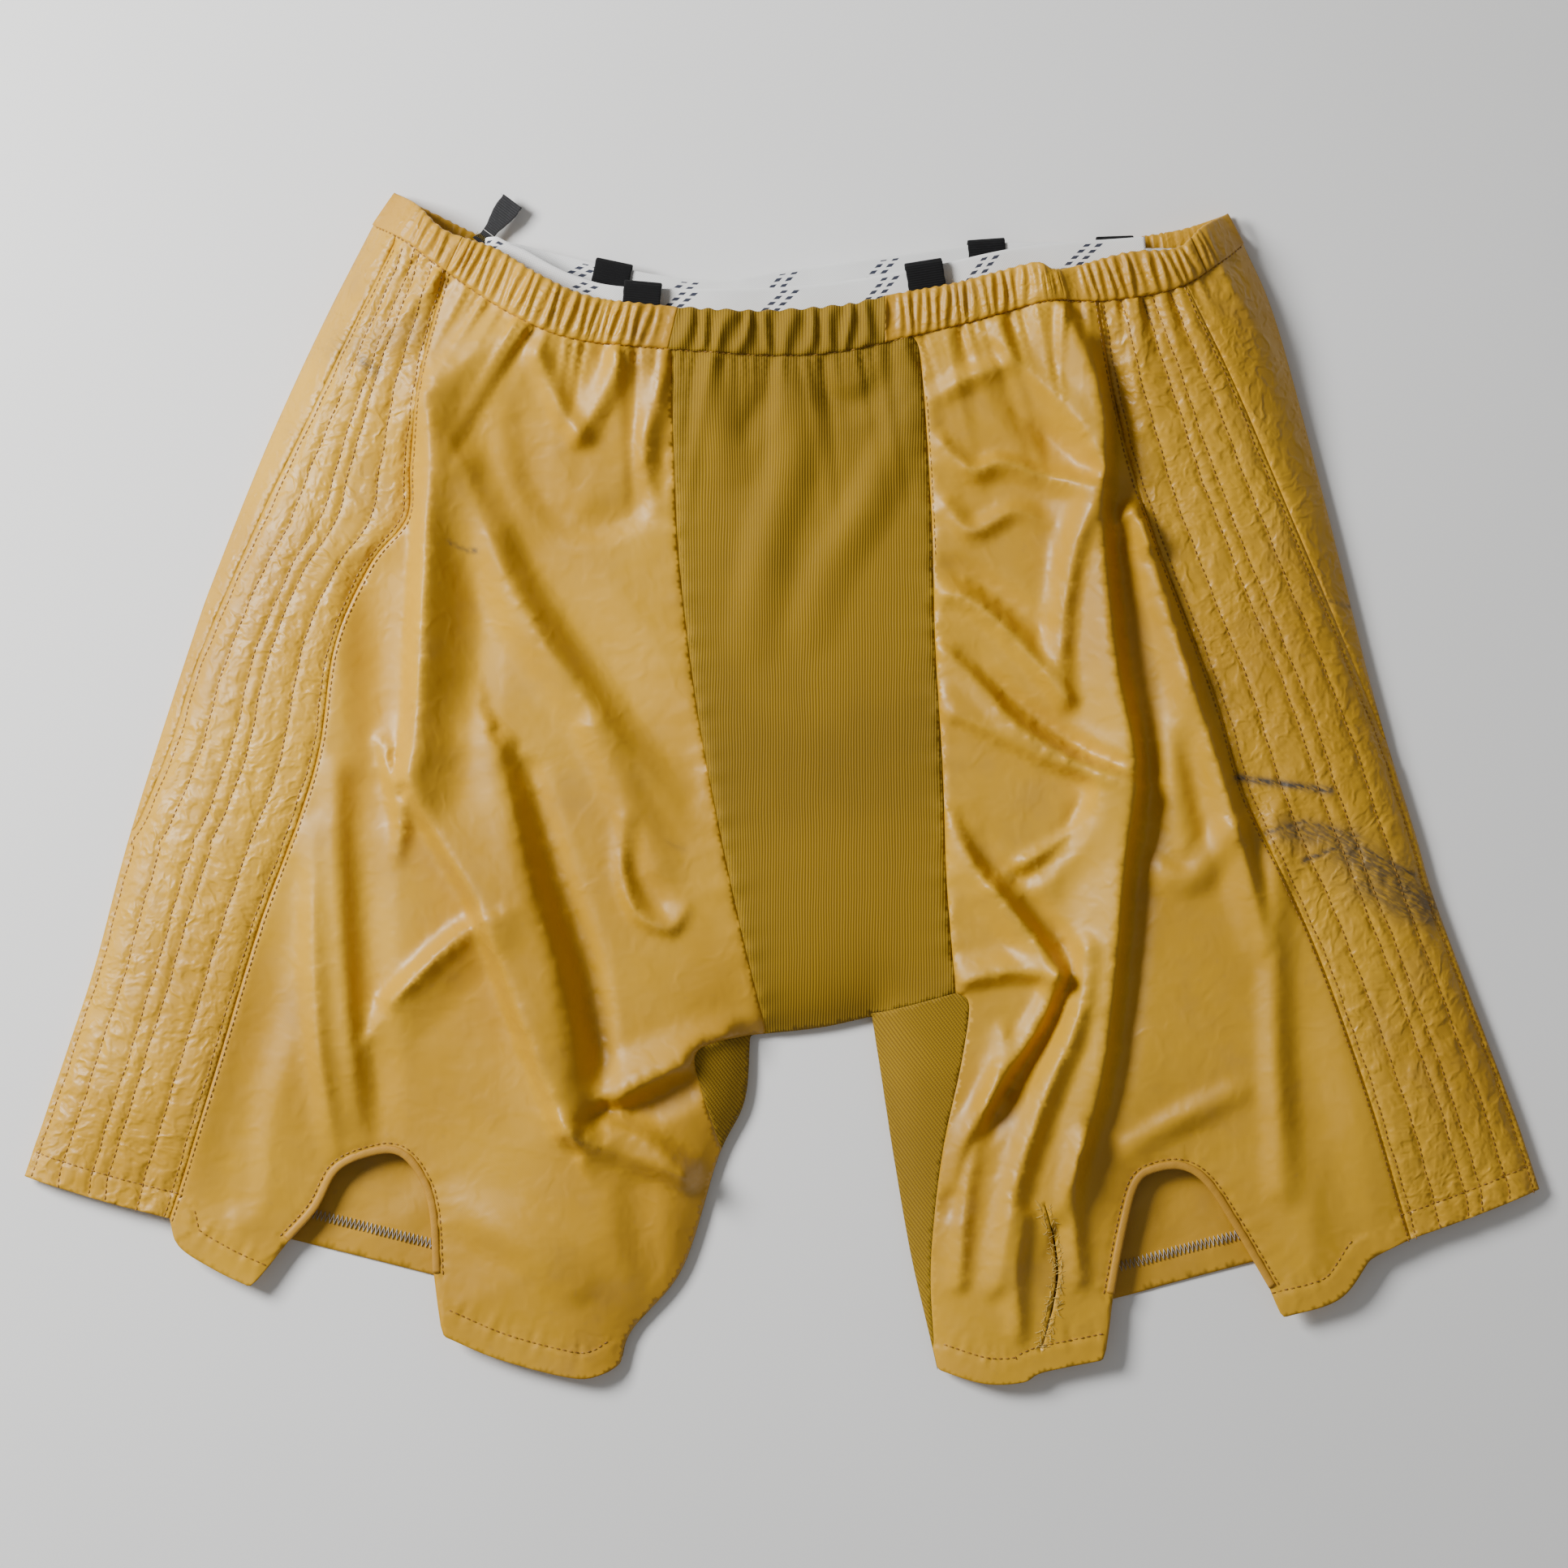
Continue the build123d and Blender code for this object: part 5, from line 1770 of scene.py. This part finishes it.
@dataclass
class Casing:
    """The gathered waistband, front and back, with the elastic in it."""

    surface: Surface
    finishes: Finishes
    seam_rise: float = 0.6
    back_height: float = 3.3
    overlap: float = 1.14  # how far the band's lower edge laps over the panels below it
    half_thickness: float = 2.3
    fullness: float = 1.3
    station: float = 0.95
    around: int = 22

    def middle_line(self, top: Sequence[Point2], low: np.ndarray | None, drop: float) -> tuple[np.ndarray, np.ndarray]:
        """The band's middle in plan, and the direction across it at each station.

        Args:
            top: the band's upper edge.
            low: its lower edge, or None where it is simply below the upper one.
            drop: how far below, where there is no lower line.

        Returns:
            The middle line's points, and unit vectors across the band times its half width.
        """
        upper = smooth_line(top, 1.0)
        lower = upper - leftwards(upper) * drop if low is None else resample(low, 1.0)
        share = np.linspace(0, 1, int(len(upper) / self.station))
        a, b = (
            np.column_stack([np.interp(share, np.linspace(0, 1, len(line)), line[:, k]) for k in (0, 1)])
            for line in (upper, lower)
        )
        return (a + b) / 2, (a - b) / 2

    @staticmethod
    def gathers(
        along: np.ndarray, seed: int, calm: np.ndarray, knit: np.ndarray
    ) -> tuple[np.ndarray, np.ndarray]:
        """The gathers of a band.

        Args:
            along: the length along it.
            seed: of their unevenness.
            calm: 1 where the band lies flat, down to 0 where it is gathered.
            knit: where it is of knit, which gathers in wider and even waves.

        Returns:
            The gathers' phase and their strength.
        """
        pitch = 5.3 + 1.5 * waves(along, seed, (41, 27, 63)) + 1.0 * waves(along, seed + 1, (13, 19))
        pitch = np.where(knit, pitch * 2.1, pitch)
        phase = np.cumsum(2 * math.pi / np.maximum(pitch, 2.8)) * np.gradient(along)
        strength = 0.75 + 0.35 * waves(along, seed + 2, (11, 17, 29))
        return phase, np.where(knit, 1.15, np.clip(strength, 0.25, 1.3) * (1 - np.clip(calm, 0, 1)))

    def tube(self, front: bool) -> tuple[np.ndarray, np.ndarray]:
        """The band's cross-sections, from one corner to the other.

        Args:
            front: whether it is the front band or the back one.

        Returns:
            Where each cross-section is in X, and its points.
        """
        if front:
            middle, across = self.middle_line(FRONT_WAIST, self.surface.band_seam, 0)
        else:
            middle, across = self.middle_line(BACK_WAIST, None, 21.0)
        x = middle[:, 0]
        along = walked(middle)
        from_end = np.minimum(along, along[-1] - along)
        knit = smoothstep((x + 61) / 5) * smoothstep((57 - x) / 5)
        tabs = np.exp(-((x + 62) / 4.5) ** 2) + np.exp(-((x - 58) / 4.5) ** 2)
        calm = np.maximum(np.clip(tabs, 0, 1), 1 - smoothstep((from_end - 8) / 22))
        if front:
            calm = np.maximum(calm, np.exp(-((x - 152) / 5) ** 2))
        phase, strength = self.gathers(along, 61 if front else 81, calm, knit > 0.5)
        base = self.back_height * np.ones_like(x)
        if front:
            seam = middle - across * 1.3
            base = self.surface.height(seam)
            kernel = np.hanning(25) / np.hanning(25).sum()
            base = np.minimum(base, self.surface.edge_height + 1.5 + 1.25 * from_end)
            base = np.convolve(np.pad(base, 12, mode="edge"), kernel, "valid")
            base += self.seam_rise * smoothstep(from_end / 30)
        normal = np.column_stack([across, np.zeros(len(x))])
        rings = []
        slant = 0.9 * waves(along, 91, (37, 53))
        height_of = 1.0 if front else 0.45
        for k in range(len(x)):
            angle = -np.linspace(0, 2 * math.pi, self.around, endpoint=False)
            w, t = np.cos(angle), np.sin(angle)
            w, t = np.sign(w) * np.abs(w) ** 0.75, np.sign(t) * np.abs(t) ** 0.6
            lap = np.where(w < 0, self.overlap if front else 1.0, 1.0)
            fold = 0.5 + 0.5 * np.cos(phase[k] + slant[k] * w + 0.8 * np.sin(2.1 * w + phase[k] * 0.37))
            fold = fold ** 1.25 * (1 - 0.35 * np.abs(w) ** 3)
            thick = self.half_thickness * (0.72 + height_of * 1.15 * strength[k] * fold)
            edge = 1 + 0.045 * strength[k] * (np.cos(phase[k]) * (w > 0.3) + np.cos(phase[k] + 2) * (w < -0.3) * 0.4)
            rings.append(
                np.append(middle[k], base[k]) + np.outer(w * lap * edge, normal[k]) + np.outer(t * thick, (0, 0, 1.0))
            )
        return x, np.array(rings)

    def build(self) -> None:
        """Makes the bands, cuts them into their sewn lengths and attaches them."""
        cuts = {
            True: (
                ("right_waistband_end", -300, -172), ("front_waistband_right", -172, -57),
                ("front_waistband_centre", -57, 54), ("front_waistband_left", 54, 219),
                ("left_waistband_end", 219, 300),
            ),
            False: (
                ("back_waistband_right", -300, -57), ("back_waistband_centre", -57, 54),
                ("back_waistband_left", 54, 300),
            ),
        }
        for front, lengths in cuts.items():
            x, rings = self.tube(front)
            for name, low, high in lengths:
                pick = np.flatnonzero((x >= low - 0.6) & (x <= high + 0.6))
                knit = name.endswith("centre")
                finish = self.finishes.knit if knit else self.finishes.casing_nylon
                slot = "mustard_knit" if knit else "gold_nylon"
                obj = add_solid(f"{name}_gathered", rings[pick], finish, SHELL, slot, name)
                drawn = float(np.ptp(x[pick])) * MM
                Cut(drawn * self.fullness, 0.023, drawn * self.fullness * 0.023, "gathered").declare(obj)
        self.elastic()

    def elastic(self) -> None:
        """The elastic inside the casing, a woven band all the way round."""
        bands = []
        for number, front in enumerate((True, False)):
            rings = self.tube(front)[1]
            centre = rings.mean(axis=1, keepdims=True)
            verts, faces = tube_mesh((centre + (rings - centre) * (0.7, 0.7, 0.25))[::5])
            bands.append(make_object(f"elastic_{number}", verts, faces, self.finishes.elastic))
            face_outwards(bands[-1])
        belongs(join_into("woven_waist_elastic", bands), SHELL, "woven_elastic", "waist_elastic")


@dataclass
class Lace:
    """The flat waist lace with its two crimped tips."""

    finishes: Finishes
    width: float = 16.5
    thickness: float = 1.2
    back_height: float = 12.6
    front_height: float = 25.4
    turn_x: float = -150.0
    back_run: tuple[Point2, ...] = (
        (-150, 283), (-91, 269), (-40, 262), (16, 269), (76, 277), (109, 281), (174, 282.5)
    )
    front_run: tuple[Point2, ...] = (
        (-150, 283), (-112, 263), (-74, 256), (10, 257), (76, 267), (130, 278), (192, 283)
    )
    tip_length: float = 22.0
    tip_radius: float = 2.2

    def centre_line(self) -> np.ndarray:
        """The lace's middle, from its back end round the turn to its front end."""
        back, front = smooth_line(self.back_run, 1.6), smooth_line(self.front_run, 1.6)
        back = np.column_stack([back, np.full(len(back), self.back_height)])
        front = np.column_stack([front, np.full(len(front), self.front_height)])
        radius = (self.front_height - self.back_height) / 2
        angle = np.linspace(-math.pi / 2, -1.5 * math.pi, 14)[1:-1]
        turn = np.column_stack([
            self.turn_x + radius * np.cos(angle), np.full(12, 283.0),
            self.back_height + radius + radius * np.sin(angle),
        ])
        line = np.vstack([back[::-1], turn, front])
        s = np.arange(len(line)) * 1.6
        line[:, 2] += 0.45 * waves(s, 71, (47, 71)) * smoothstep((np.abs(line[:, 0] - self.turn_x) - 4) / 20)
        return line

    def build(self) -> None:
        """Makes the ribbon, with its UV map, and the tips."""
        line = self.centre_line()
        tangent = np.gradient(line, axis=0)
        plan = tangent[:, :2].copy()
        near_turn = np.abs(line[:, 0] - self.turn_x) < 9
        plan[near_turn] = (1, 0.0)
        plan /= np.maximum(np.linalg.norm(plan, axis=1, keepdims=True), 1e-9)
        plan *= np.sign(plan[:, :1] + 1e-9)
        across = np.column_stack([-plan[:, 1], plan[:, 0], np.zeros(len(line))])
        tangent /= np.linalg.norm(tangent, axis=1, keepdims=True)
        normal = np.cross(tangent, across)
        normal /= np.linalg.norm(normal, axis=1, keepdims=True)
        along = walked(line)
        share = np.array([-1, -0.97, -0.8, -0.5, -0.2, 0.2, 0.5, 0.8, 0.97, 1.0])
        thick = np.array([0.35, 0.8, 1, 0.9, 1, 1, 0.9, 1, 0.8, 0.35]) / 2 * self.thickness
        ring_u = np.concatenate([share, share[::-1]]) * self.width / 2
        ring_t = np.concatenate([thick, -thick[::-1]])
        rings = line[:, None] + across[:, None] * ring_u[:, None] + normal[:, None] * ring_t[:, None]
        verts, faces = tube_mesh(rings)
        obj = make_object("flat_waist_lace", verts, faces, self.finishes.lace)
        uv = obj.data.uv_layers.new(name="lace")
        columns, turn_row = len(ring_u), int(np.argmin(line[:, 0]))
        for loop in obj.data.loops:
            row, column = divmod(loop.vertex_index, columns)
            facing = -1.0 if row < turn_row else 1.0
            uv.data[loop.index].uv = (facing * ring_u[column] * MM, along[row] * MM)
        face_outwards(obj)
        belongs(obj, SHELL, "white_lace", "waist_lace")
        for name, x, z in (("lace_tip_back", 174.0, self.back_height), ("lace_tip_front", 192.0, self.front_height)):
            self.tip(name, x, z)

    def tip(self, node: str, x: float, z: float) -> None:
        """One moulded tip, crimped in three places."""
        s = np.linspace(0, 1, 40)
        radius = self.tip_radius * (1 - 0.12 * np.exp(-(((s * 3) % 1 - 0.5) / 0.16) ** 2))
        radius = radius * np.where(s > 0.96, 0.8, 1.0)
        angle = -np.linspace(0, 2 * math.pi, 16, endpoint=False)
        rings = np.array([
            np.column_stack([np.full(16, x + t * self.tip_length), 283 + r * np.cos(angle), z + r * np.sin(angle)])
            for t, r in zip(s, radius)
        ])
        add_solid(f"{node}_moulding", rings, self.finishes.tip, SHELL, "clear_plastic", node)


@dataclass
class BeltLoops:
    """The ribbed webbing loops round the lace, and the one that hangs by one end."""

    finishes: Finishes
    repeats: Repeats
    width: float = 20.0
    thickness: float = 1.4
    length: float = 23.0
    height: float = 8.6
    tail: float = 6.0
    rib_pitch: float = 1.25
    rib_depth: float = 0.22
    front_base: float = 31.6
    back_base: float = 6.4
    tape_width: float = 12.5
    tape_length: float = 22.0
    tape_sewn: float = 7.0
    tape_root: Point2 = (-156.0, 295.5)
    tape_turn: float = 53.0
    front: dict[str, Point3] = field(default_factory=lambda: {
        "front_right_loop": (-74, 256, -5), "front_left_loop": (76, 267, 9)})
    back: dict[str, Point3] = field(default_factory=lambda: {
        "back_right_loop": (-91, 269, -12), "back_left_loop": (109, 280.5, 4), "side_left_loop": (177, 282, 2)})

    def ribbed_strip(
        self, path: np.ndarray, width: float, seed: int, pinch: tuple[float, float] = (1.0, 1.0)
    ) -> tuple[np.ndarray, list[Sequence[int]]]:
        """Webbing along a path in its own side view (y, z), with ribs across its length.

        Args:
            path: the middle of the webbing's thickness.
            width: across the webbing, along its own X.
            seed: of the slight unevenness.
            pinch: the share of its width that it is gathered to at its start and at its end.

        Returns:
            Vertices and faces, about the loop's own origin.
        """
        normal = leftwards(path)
        along = walked(path)
        share = np.array([-1, -0.98, -0.9, -0.6, -0.3, 0, 0.3, 0.6, 0.9, 0.98, 1.0])
        edge = np.array([0.4, 0.85, 1, 1, 1, 1, 1, 1, 1, 0.85, 0.4])
        rib = self.rib_depth * np.sin(2 * math.pi * along / self.rib_pitch)
        uneven = 0.12 * waves(along, seed, (5, 9))
        drawn = pinch[0] + (pinch[1] - pinch[0]) * smoothstep(along / along[-1] * 1.4)
        rings = []
        for k in range(len(path)):
            half = (self.thickness / 2 - self.rib_depth + rib[k]) * edge
            u = share * (width / 2 - 0.12 + uneven[k] * np.abs(share) ** 6) * drawn[k]
            upper, lower = (np.column_stack([u, path[k] + way * np.outer(half, normal[k])]) for way in (1, -1))
            rings.append(np.vstack([upper, lower[::-1]]))
        return tube_mesh(np.array(rings))

    def ring_path(self) -> np.ndarray:
        """The loop's side view: out from the sewn tail, round the lace and back to the tail."""
        t, length, high = self.thickness / 2, self.length / 2, self.height
        corners = [
            (-length - self.tail, t), (-length + 2, t), (0, t), (length - 3.5, t), (length - t - 0.6, t + 1.2),
            (length - t, high / 2), (length - t - 0.6, high - t - 1.2), (length - 3.5, high - t), (0, high - t),
            (-length + 3.5, high - t - 0.1), (-length + 1.6, high - t - 1.6), (-length + t + 0.2, high / 2),
            (-length - 0.4, 3 * t + 0.5), (-length - 2, 3 * t + 0.05), (-length - self.tail, 3 * t + 0.05),
        ]
        return smooth_line(corners, self.rib_pitch / 4)

    def place(self, verts: np.ndarray, at: Point3, z: float, up: float) -> np.ndarray:
        """Vertices turned about Z and moved to a loop's place; up is -1 for a loop that hangs."""
        c, s = math.cos(math.radians(at[2])), math.sin(math.radians(at[2]))
        x, y, height = verts.T
        return np.column_stack([x * c - y * s + at[0], x * s + y * c + at[1], z + up * height])

    def build(self) -> None:
        """Makes the loops with their bar tacks, and the loose tape."""
        path = self.ring_path()
        for number, (name, at, z, up) in enumerate([
            *((n, a, self.front_base, -1.0) for n, a in self.front.items()),
            *((n, a, self.back_base, 1.0) for n, a in self.back.items()),
        ]):
            verts, faces = self.ribbed_strip(path, self.width, 200 + number)
            obj = make_object(f"{name}_webbing", self.place(verts, at, z, up), faces, self.finishes.webbing)
            face_outwards(obj)
            belongs(obj, name, "black_webbing", name)
            y = -self.length / 2 - self.tail / 2
            bar = np.column_stack([np.linspace(-8, 8, 12), np.full(12, y), np.full(12, 2 * self.thickness + 0.15)])
            tack = self.repeats.along(
                f"{name}_bar_tack", [self.place(bar, at, z, up)], self.repeats.overlock_tree, self.finishes.webbing,
                Pitch=0.9, Width=2.4, Thickness=0.22,
            )
            belongs(tack, name, "black_webbing")
        self.loose_tape()

    def loose_tape(self) -> None:
        """The loop that is held by one end: its free tape, its sewn end and the threads at its end."""
        t = self.thickness / 2
        at = (*self.tape_root, self.tape_turn - 90)
        runs = {
            "loose_loop_tape": [
                (0.3, t), (5, t + 0.2), (11, t + 0.7), (17, t + 0.4), (self.tape_length - 0.6, t + 0.3),
            ],
            "loose_tape_sewn_end": [(-self.tape_sewn, t), (-4, t), (0, t)],
        }
        for number, (name, side_view) in enumerate(runs.items()):
            body, pinch = ("loose_loop_tape", (0.58, 1.0)) if number == 0 else (SHELL, (0.9, 0.58))
            path = smooth_line(side_view, self.rib_pitch / 4)
            verts, faces = self.ribbed_strip(path, self.tape_width, 230 + number, pinch)
            obj = make_object(f"{name}_weave", self.place(verts, at, self.back_base, 1.0), faces, self.finishes.tape)
            face_outwards(obj)
            belongs(obj, body, "black_webbing", name)
        end = np.column_stack([np.linspace(-5.6, 5.6, 24), np.full(24, self.tape_length - 1.4), np.full(24, t + 0.4)])
        frays = self.repeats.along(
            "loose_tape_frays", [self.place(end, at, self.back_base, 1.0)], self.repeats.fray_tree, self.finishes.tape,
            Pitch=0.35, Length=2.2,
        )
        belongs(frays, "loose_loop_tape", "black_webbing")
        bar = np.column_stack([np.linspace(-5, 5, 10), np.full(10, -4.0), np.full(10, 2 * t + 0.1)])
        tack = self.repeats.along(
            "loose_tape_bar_tack", [self.place(bar, at, self.back_base, 1.0)], self.repeats.overlock_tree,
            self.finishes.yellow_thread, Pitch=0.9, Width=2.4, Thickness=0.22,
        )
        belongs(tack, SHELL, "gold_binding")


@dataclass
class Trims:
    """The stitching, the notch bindings, the overlocked edges, the torn threads and the waist label."""

    surface: Surface
    back: BackCloth
    finishes: Finishes
    repeats: Repeats
    binding_width: float = 4.2
    binding_thickness: float = 1.7
    stitch_pitch: float = 3.3

    @staticmethod
    def inset(line: np.ndarray, distance: float) -> np.ndarray:
        """A line in plan moved towards its left side."""
        return line[:, :2] + leftwards(line) * distance

    def stitch(
        self, name: str, lines: Sequence[np.ndarray], material: bpy.types.Material, width: float = 0.92
    ) -> bpy.types.Object:
        """Running stitches along lines laid on the front cloth."""
        laid = [self.surface.rest_on(line, 0.12) for line in lines]
        laid = [line for line in laid if len(line) > 2]
        return self.repeats.along(
            name, laid, self.repeats.stitch_tree, material, Pitch=self.stitch_pitch, Length=2.5, Width=width
        )

    def build(self) -> None:
        """Makes the trims of each side, then the waist's."""
        s, f = self.surface, self.finishes
        for side in Side:
            name = side.value
            rows = [*s.stripe_rows(side), self.inset(s.stripe_seam[side], 1.6 if side is Side.RIGHT else -1.6)]
            crosses_fold(self.stitch(f"{name}_stripe_stitches", rows, f.gold_thread), side, "gold_binding")
            hems = []
            for hem in s.hems[side]:
                line = self.inset(hem, s.hem_fold - 1.5)
                hems.append(line[inside(line, s.outline)])
            notch = self.inset(s.notch[side], 5.0 if side is Side.RIGHT else -5.0)
            hem_rows = self.stitch(f"{name}_hem_stitches", [*hems, notch], f.gold_thread)
            belongs(hem_rows, side.body, "gold_binding")
            self.binding(side)
            self.overlocks(side)
        seam = self.inset(s.band_seam, -1.6)
        belongs(self.stitch("waistband_seam_stitches", [seam], f.gold_thread), SHELL, "gold_binding")
        gusset = [self.inset(s.gusset_seam[Side.LEFT], 1.2)[12:40]]
        belongs(self.stitch("gusset_seam_stitches", gusset, f.gold_thread, 0.5), SHELL, "gold_binding")
        self.torn_edges()
        self.label()

    def binding(self, side: Side) -> None:
        """The rolled binding round a notch."""
        inwards = 1.7 if side is Side.RIGHT else -1.7
        line = self.surface.rest_on(self.inset(self.surface.notch[side], inwards), 0.0)
        line = resample(line, 1.6)
        line[:, 2] = np.convolve(np.pad(line[:, 2], 4, mode="edge"), np.ones(9) / 9, "valid")
        across = np.column_stack([leftwards(line), np.zeros(len(line))])
        angle = -np.linspace(0, 2 * math.pi, 12, endpoint=False)
        pinch = 1 + 0.12 * waves(np.arange(len(line)) * 1.6, 95, (4.2, 6.1))
        rings = np.array([
            line[k] + np.outer(np.cos(angle) * self.binding_width / 2, across[k])
            + np.outer(np.sin(angle) * self.binding_thickness / 2 * pinch[k], (0, 0, 1)) for k in range(len(line))
        ])
        node = f"{side.value}_notch_binding"
        add_solid(f"{node}_roll", rings, self.finishes.binding, side.body, "gold_binding", node)

    def overlocks(self, side: Side) -> None:
        """The overlock thread on the raw edges of the turned-up hems, under the front and on the back."""
        s, name = self.surface, side.value
        hem = smooth_line(RIGHT_BACK_HEM if side is Side.RIGHT else LEFT_BACK_HEM)
        backs = [lay_on(self.back.lookup, self.inset(hem, self.back.hem_fold)[5:-5], 0.45)]
        insets = [self.inset(hem, s.hem_fold) for hem in s.hems[side]]
        fronts = [s.rest_on(line[inside(line, s.outline)], -1.3) for line in insets]
        for node, lines in ((f"{name}_back_overlock", backs), (f"{name}_front_overlock", fronts)):
            edge = self.repeats.along(
                f"{node}_thread", [line for line in lines if len(line) > 2], self.repeats.overlock_tree,
                self.finishes.white_thread, Pitch=2.3, Width=5.0, Thickness=0.6,
            )
            belongs(edge, side.body, "white_thread", node)

    def torn_edges(self) -> None:
        """Frayed threads along the tear in the left leg."""
        line = smooth_line(TEAR, 2.0)
        lines = [self.surface.rest_on(line + (dx, 0), 0.2) for dx in (-2.6, 2.4)]
        frays = self.repeats.along(
            "torn_cloth_frays", [laid for laid in lines if len(laid) > 2], self.repeats.fray_tree,
            self.finishes.yellow_thread, Pitch=0.8, Length=4.2,
        )
        belongs(frays, Side.LEFT.body, "gold_binding")

    def label(self) -> None:
        """The blank label inside the back of the waistband."""
        low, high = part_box("waist_label")
        u, v = np.linspace(0, 1, 12), np.linspace(0, 1, 8)
        x = low.x / MM + u * (high.x - low.x) / MM
        y = low.y / MM + v * (high.y - low.y) / MM
        z = low.z / MM + 0.35
        verts = np.array([(a, b, z + 0.12 * math.sin(a * 0.5) * math.cos(b * 0.4)) for b in y for a in x])
        obj = make_object("waist_label_satin", verts, strip_faces(8, 12), self.finishes.label)
        thicken(obj, 0.3, offset=0.0)
        face_outwards(obj)
        belongs(obj, SHELL, "white_label", "waist_label")
        Cut(0.022, 0.014, 0.0003).declare(obj)


@dataclass
class Studio:
    """The floor, the light and the camera straight above."""

    camera_height: float = 2.2
    view_width: float = 0.8366
    sensor: float = 36.0
    look_at: Point2 = (0.0011, 0.0026)
    floor_half_width: float = 4000.0
    key_power: float = 58.0
    fill_power: float = 1.0
    world: float = 0.22

    def area_light(self, name: str, place: Point3, size: float, power: float) -> None:
        """A square soft light that points at the garment."""
        data = bpy.data.lights.new(name, "AREA")
        data.shape, data.size, data.energy = "SQUARE", size, power
        light = bpy.data.objects.new(name, data)
        light.location = place
        light.rotation_euler = (-Vector(place)).to_track_quat("-Z", "Y").to_euler()
        bpy.context.scene.collection.objects.link(light)

    def build(self) -> None:
        """Makes all of it."""
        material, net, shader, coords = start_material("pale_floor", "floor")
        tone = net.ramp(net.noise(coords, 3.0), 0.3, 0.7, 0.0, 1.0)
        net.feed(shader, {
            "Base Color": net.mix(tone, (0.86, 0.86, 0.85, 1), (0.89, 0.89, 0.885, 1)), "Roughness": 0.8,
        })
        corners = np.array([(-1, -1, 0), (1, -1, 0), (1, 1, 0), (-1, 1, 0)]) * self.floor_half_width
        floor = make_object("floor", corners, [(0, 1, 2, 3)], material, False)
        self.area_light("key_light", (-1.3, 0.64, 1.12), 0.65, self.key_power)
        self.area_light("fill_light", (0.9, -0.9, 1.6), 1.6, self.fill_power)
        world = bpy.data.worlds.new("soft_room")
        world.use_nodes = True
        background = world.node_tree.nodes["Background"]
        background.inputs[0].default_value = (1.0, 0.99, 0.975, 1)
        background.inputs[1].default_value = self.world
        bpy.context.scene.world = world
        data = bpy.data.cameras.new("overhead_camera")
        data.sensor_width = self.sensor
        data.lens = self.sensor * self.camera_height / self.view_width
        data.clip_start, data.clip_end = 0.1, 20.0
        camera = bpy.data.objects.new("overhead_camera", data)
        camera.location = (*self.look_at, self.camera_height)
        bpy.context.scene.collection.objects.link(camera)
        bpy.context.scene.camera = camera


def main() -> None:
    """Builds the garment piece by piece, then its studio."""
    logging.basicConfig(level=logging.INFO, format="%(name)s: %(message)s")
    Studio().build()
    finishes, repeats, surface = Finishes(), Repeats(), Surface()
    front = FrontCloth(surface, finishes)
    front.build()
    back = BackCloth(surface, finishes)
    back.build()
    Trims(surface, back, finishes, repeats).build()
    Legs(front, back).attach()
    Casing(surface, finishes).build()
    Lace(finishes).build()
    BeltLoops(finishes, repeats).build()


if __name__ == "__main__":
    main()
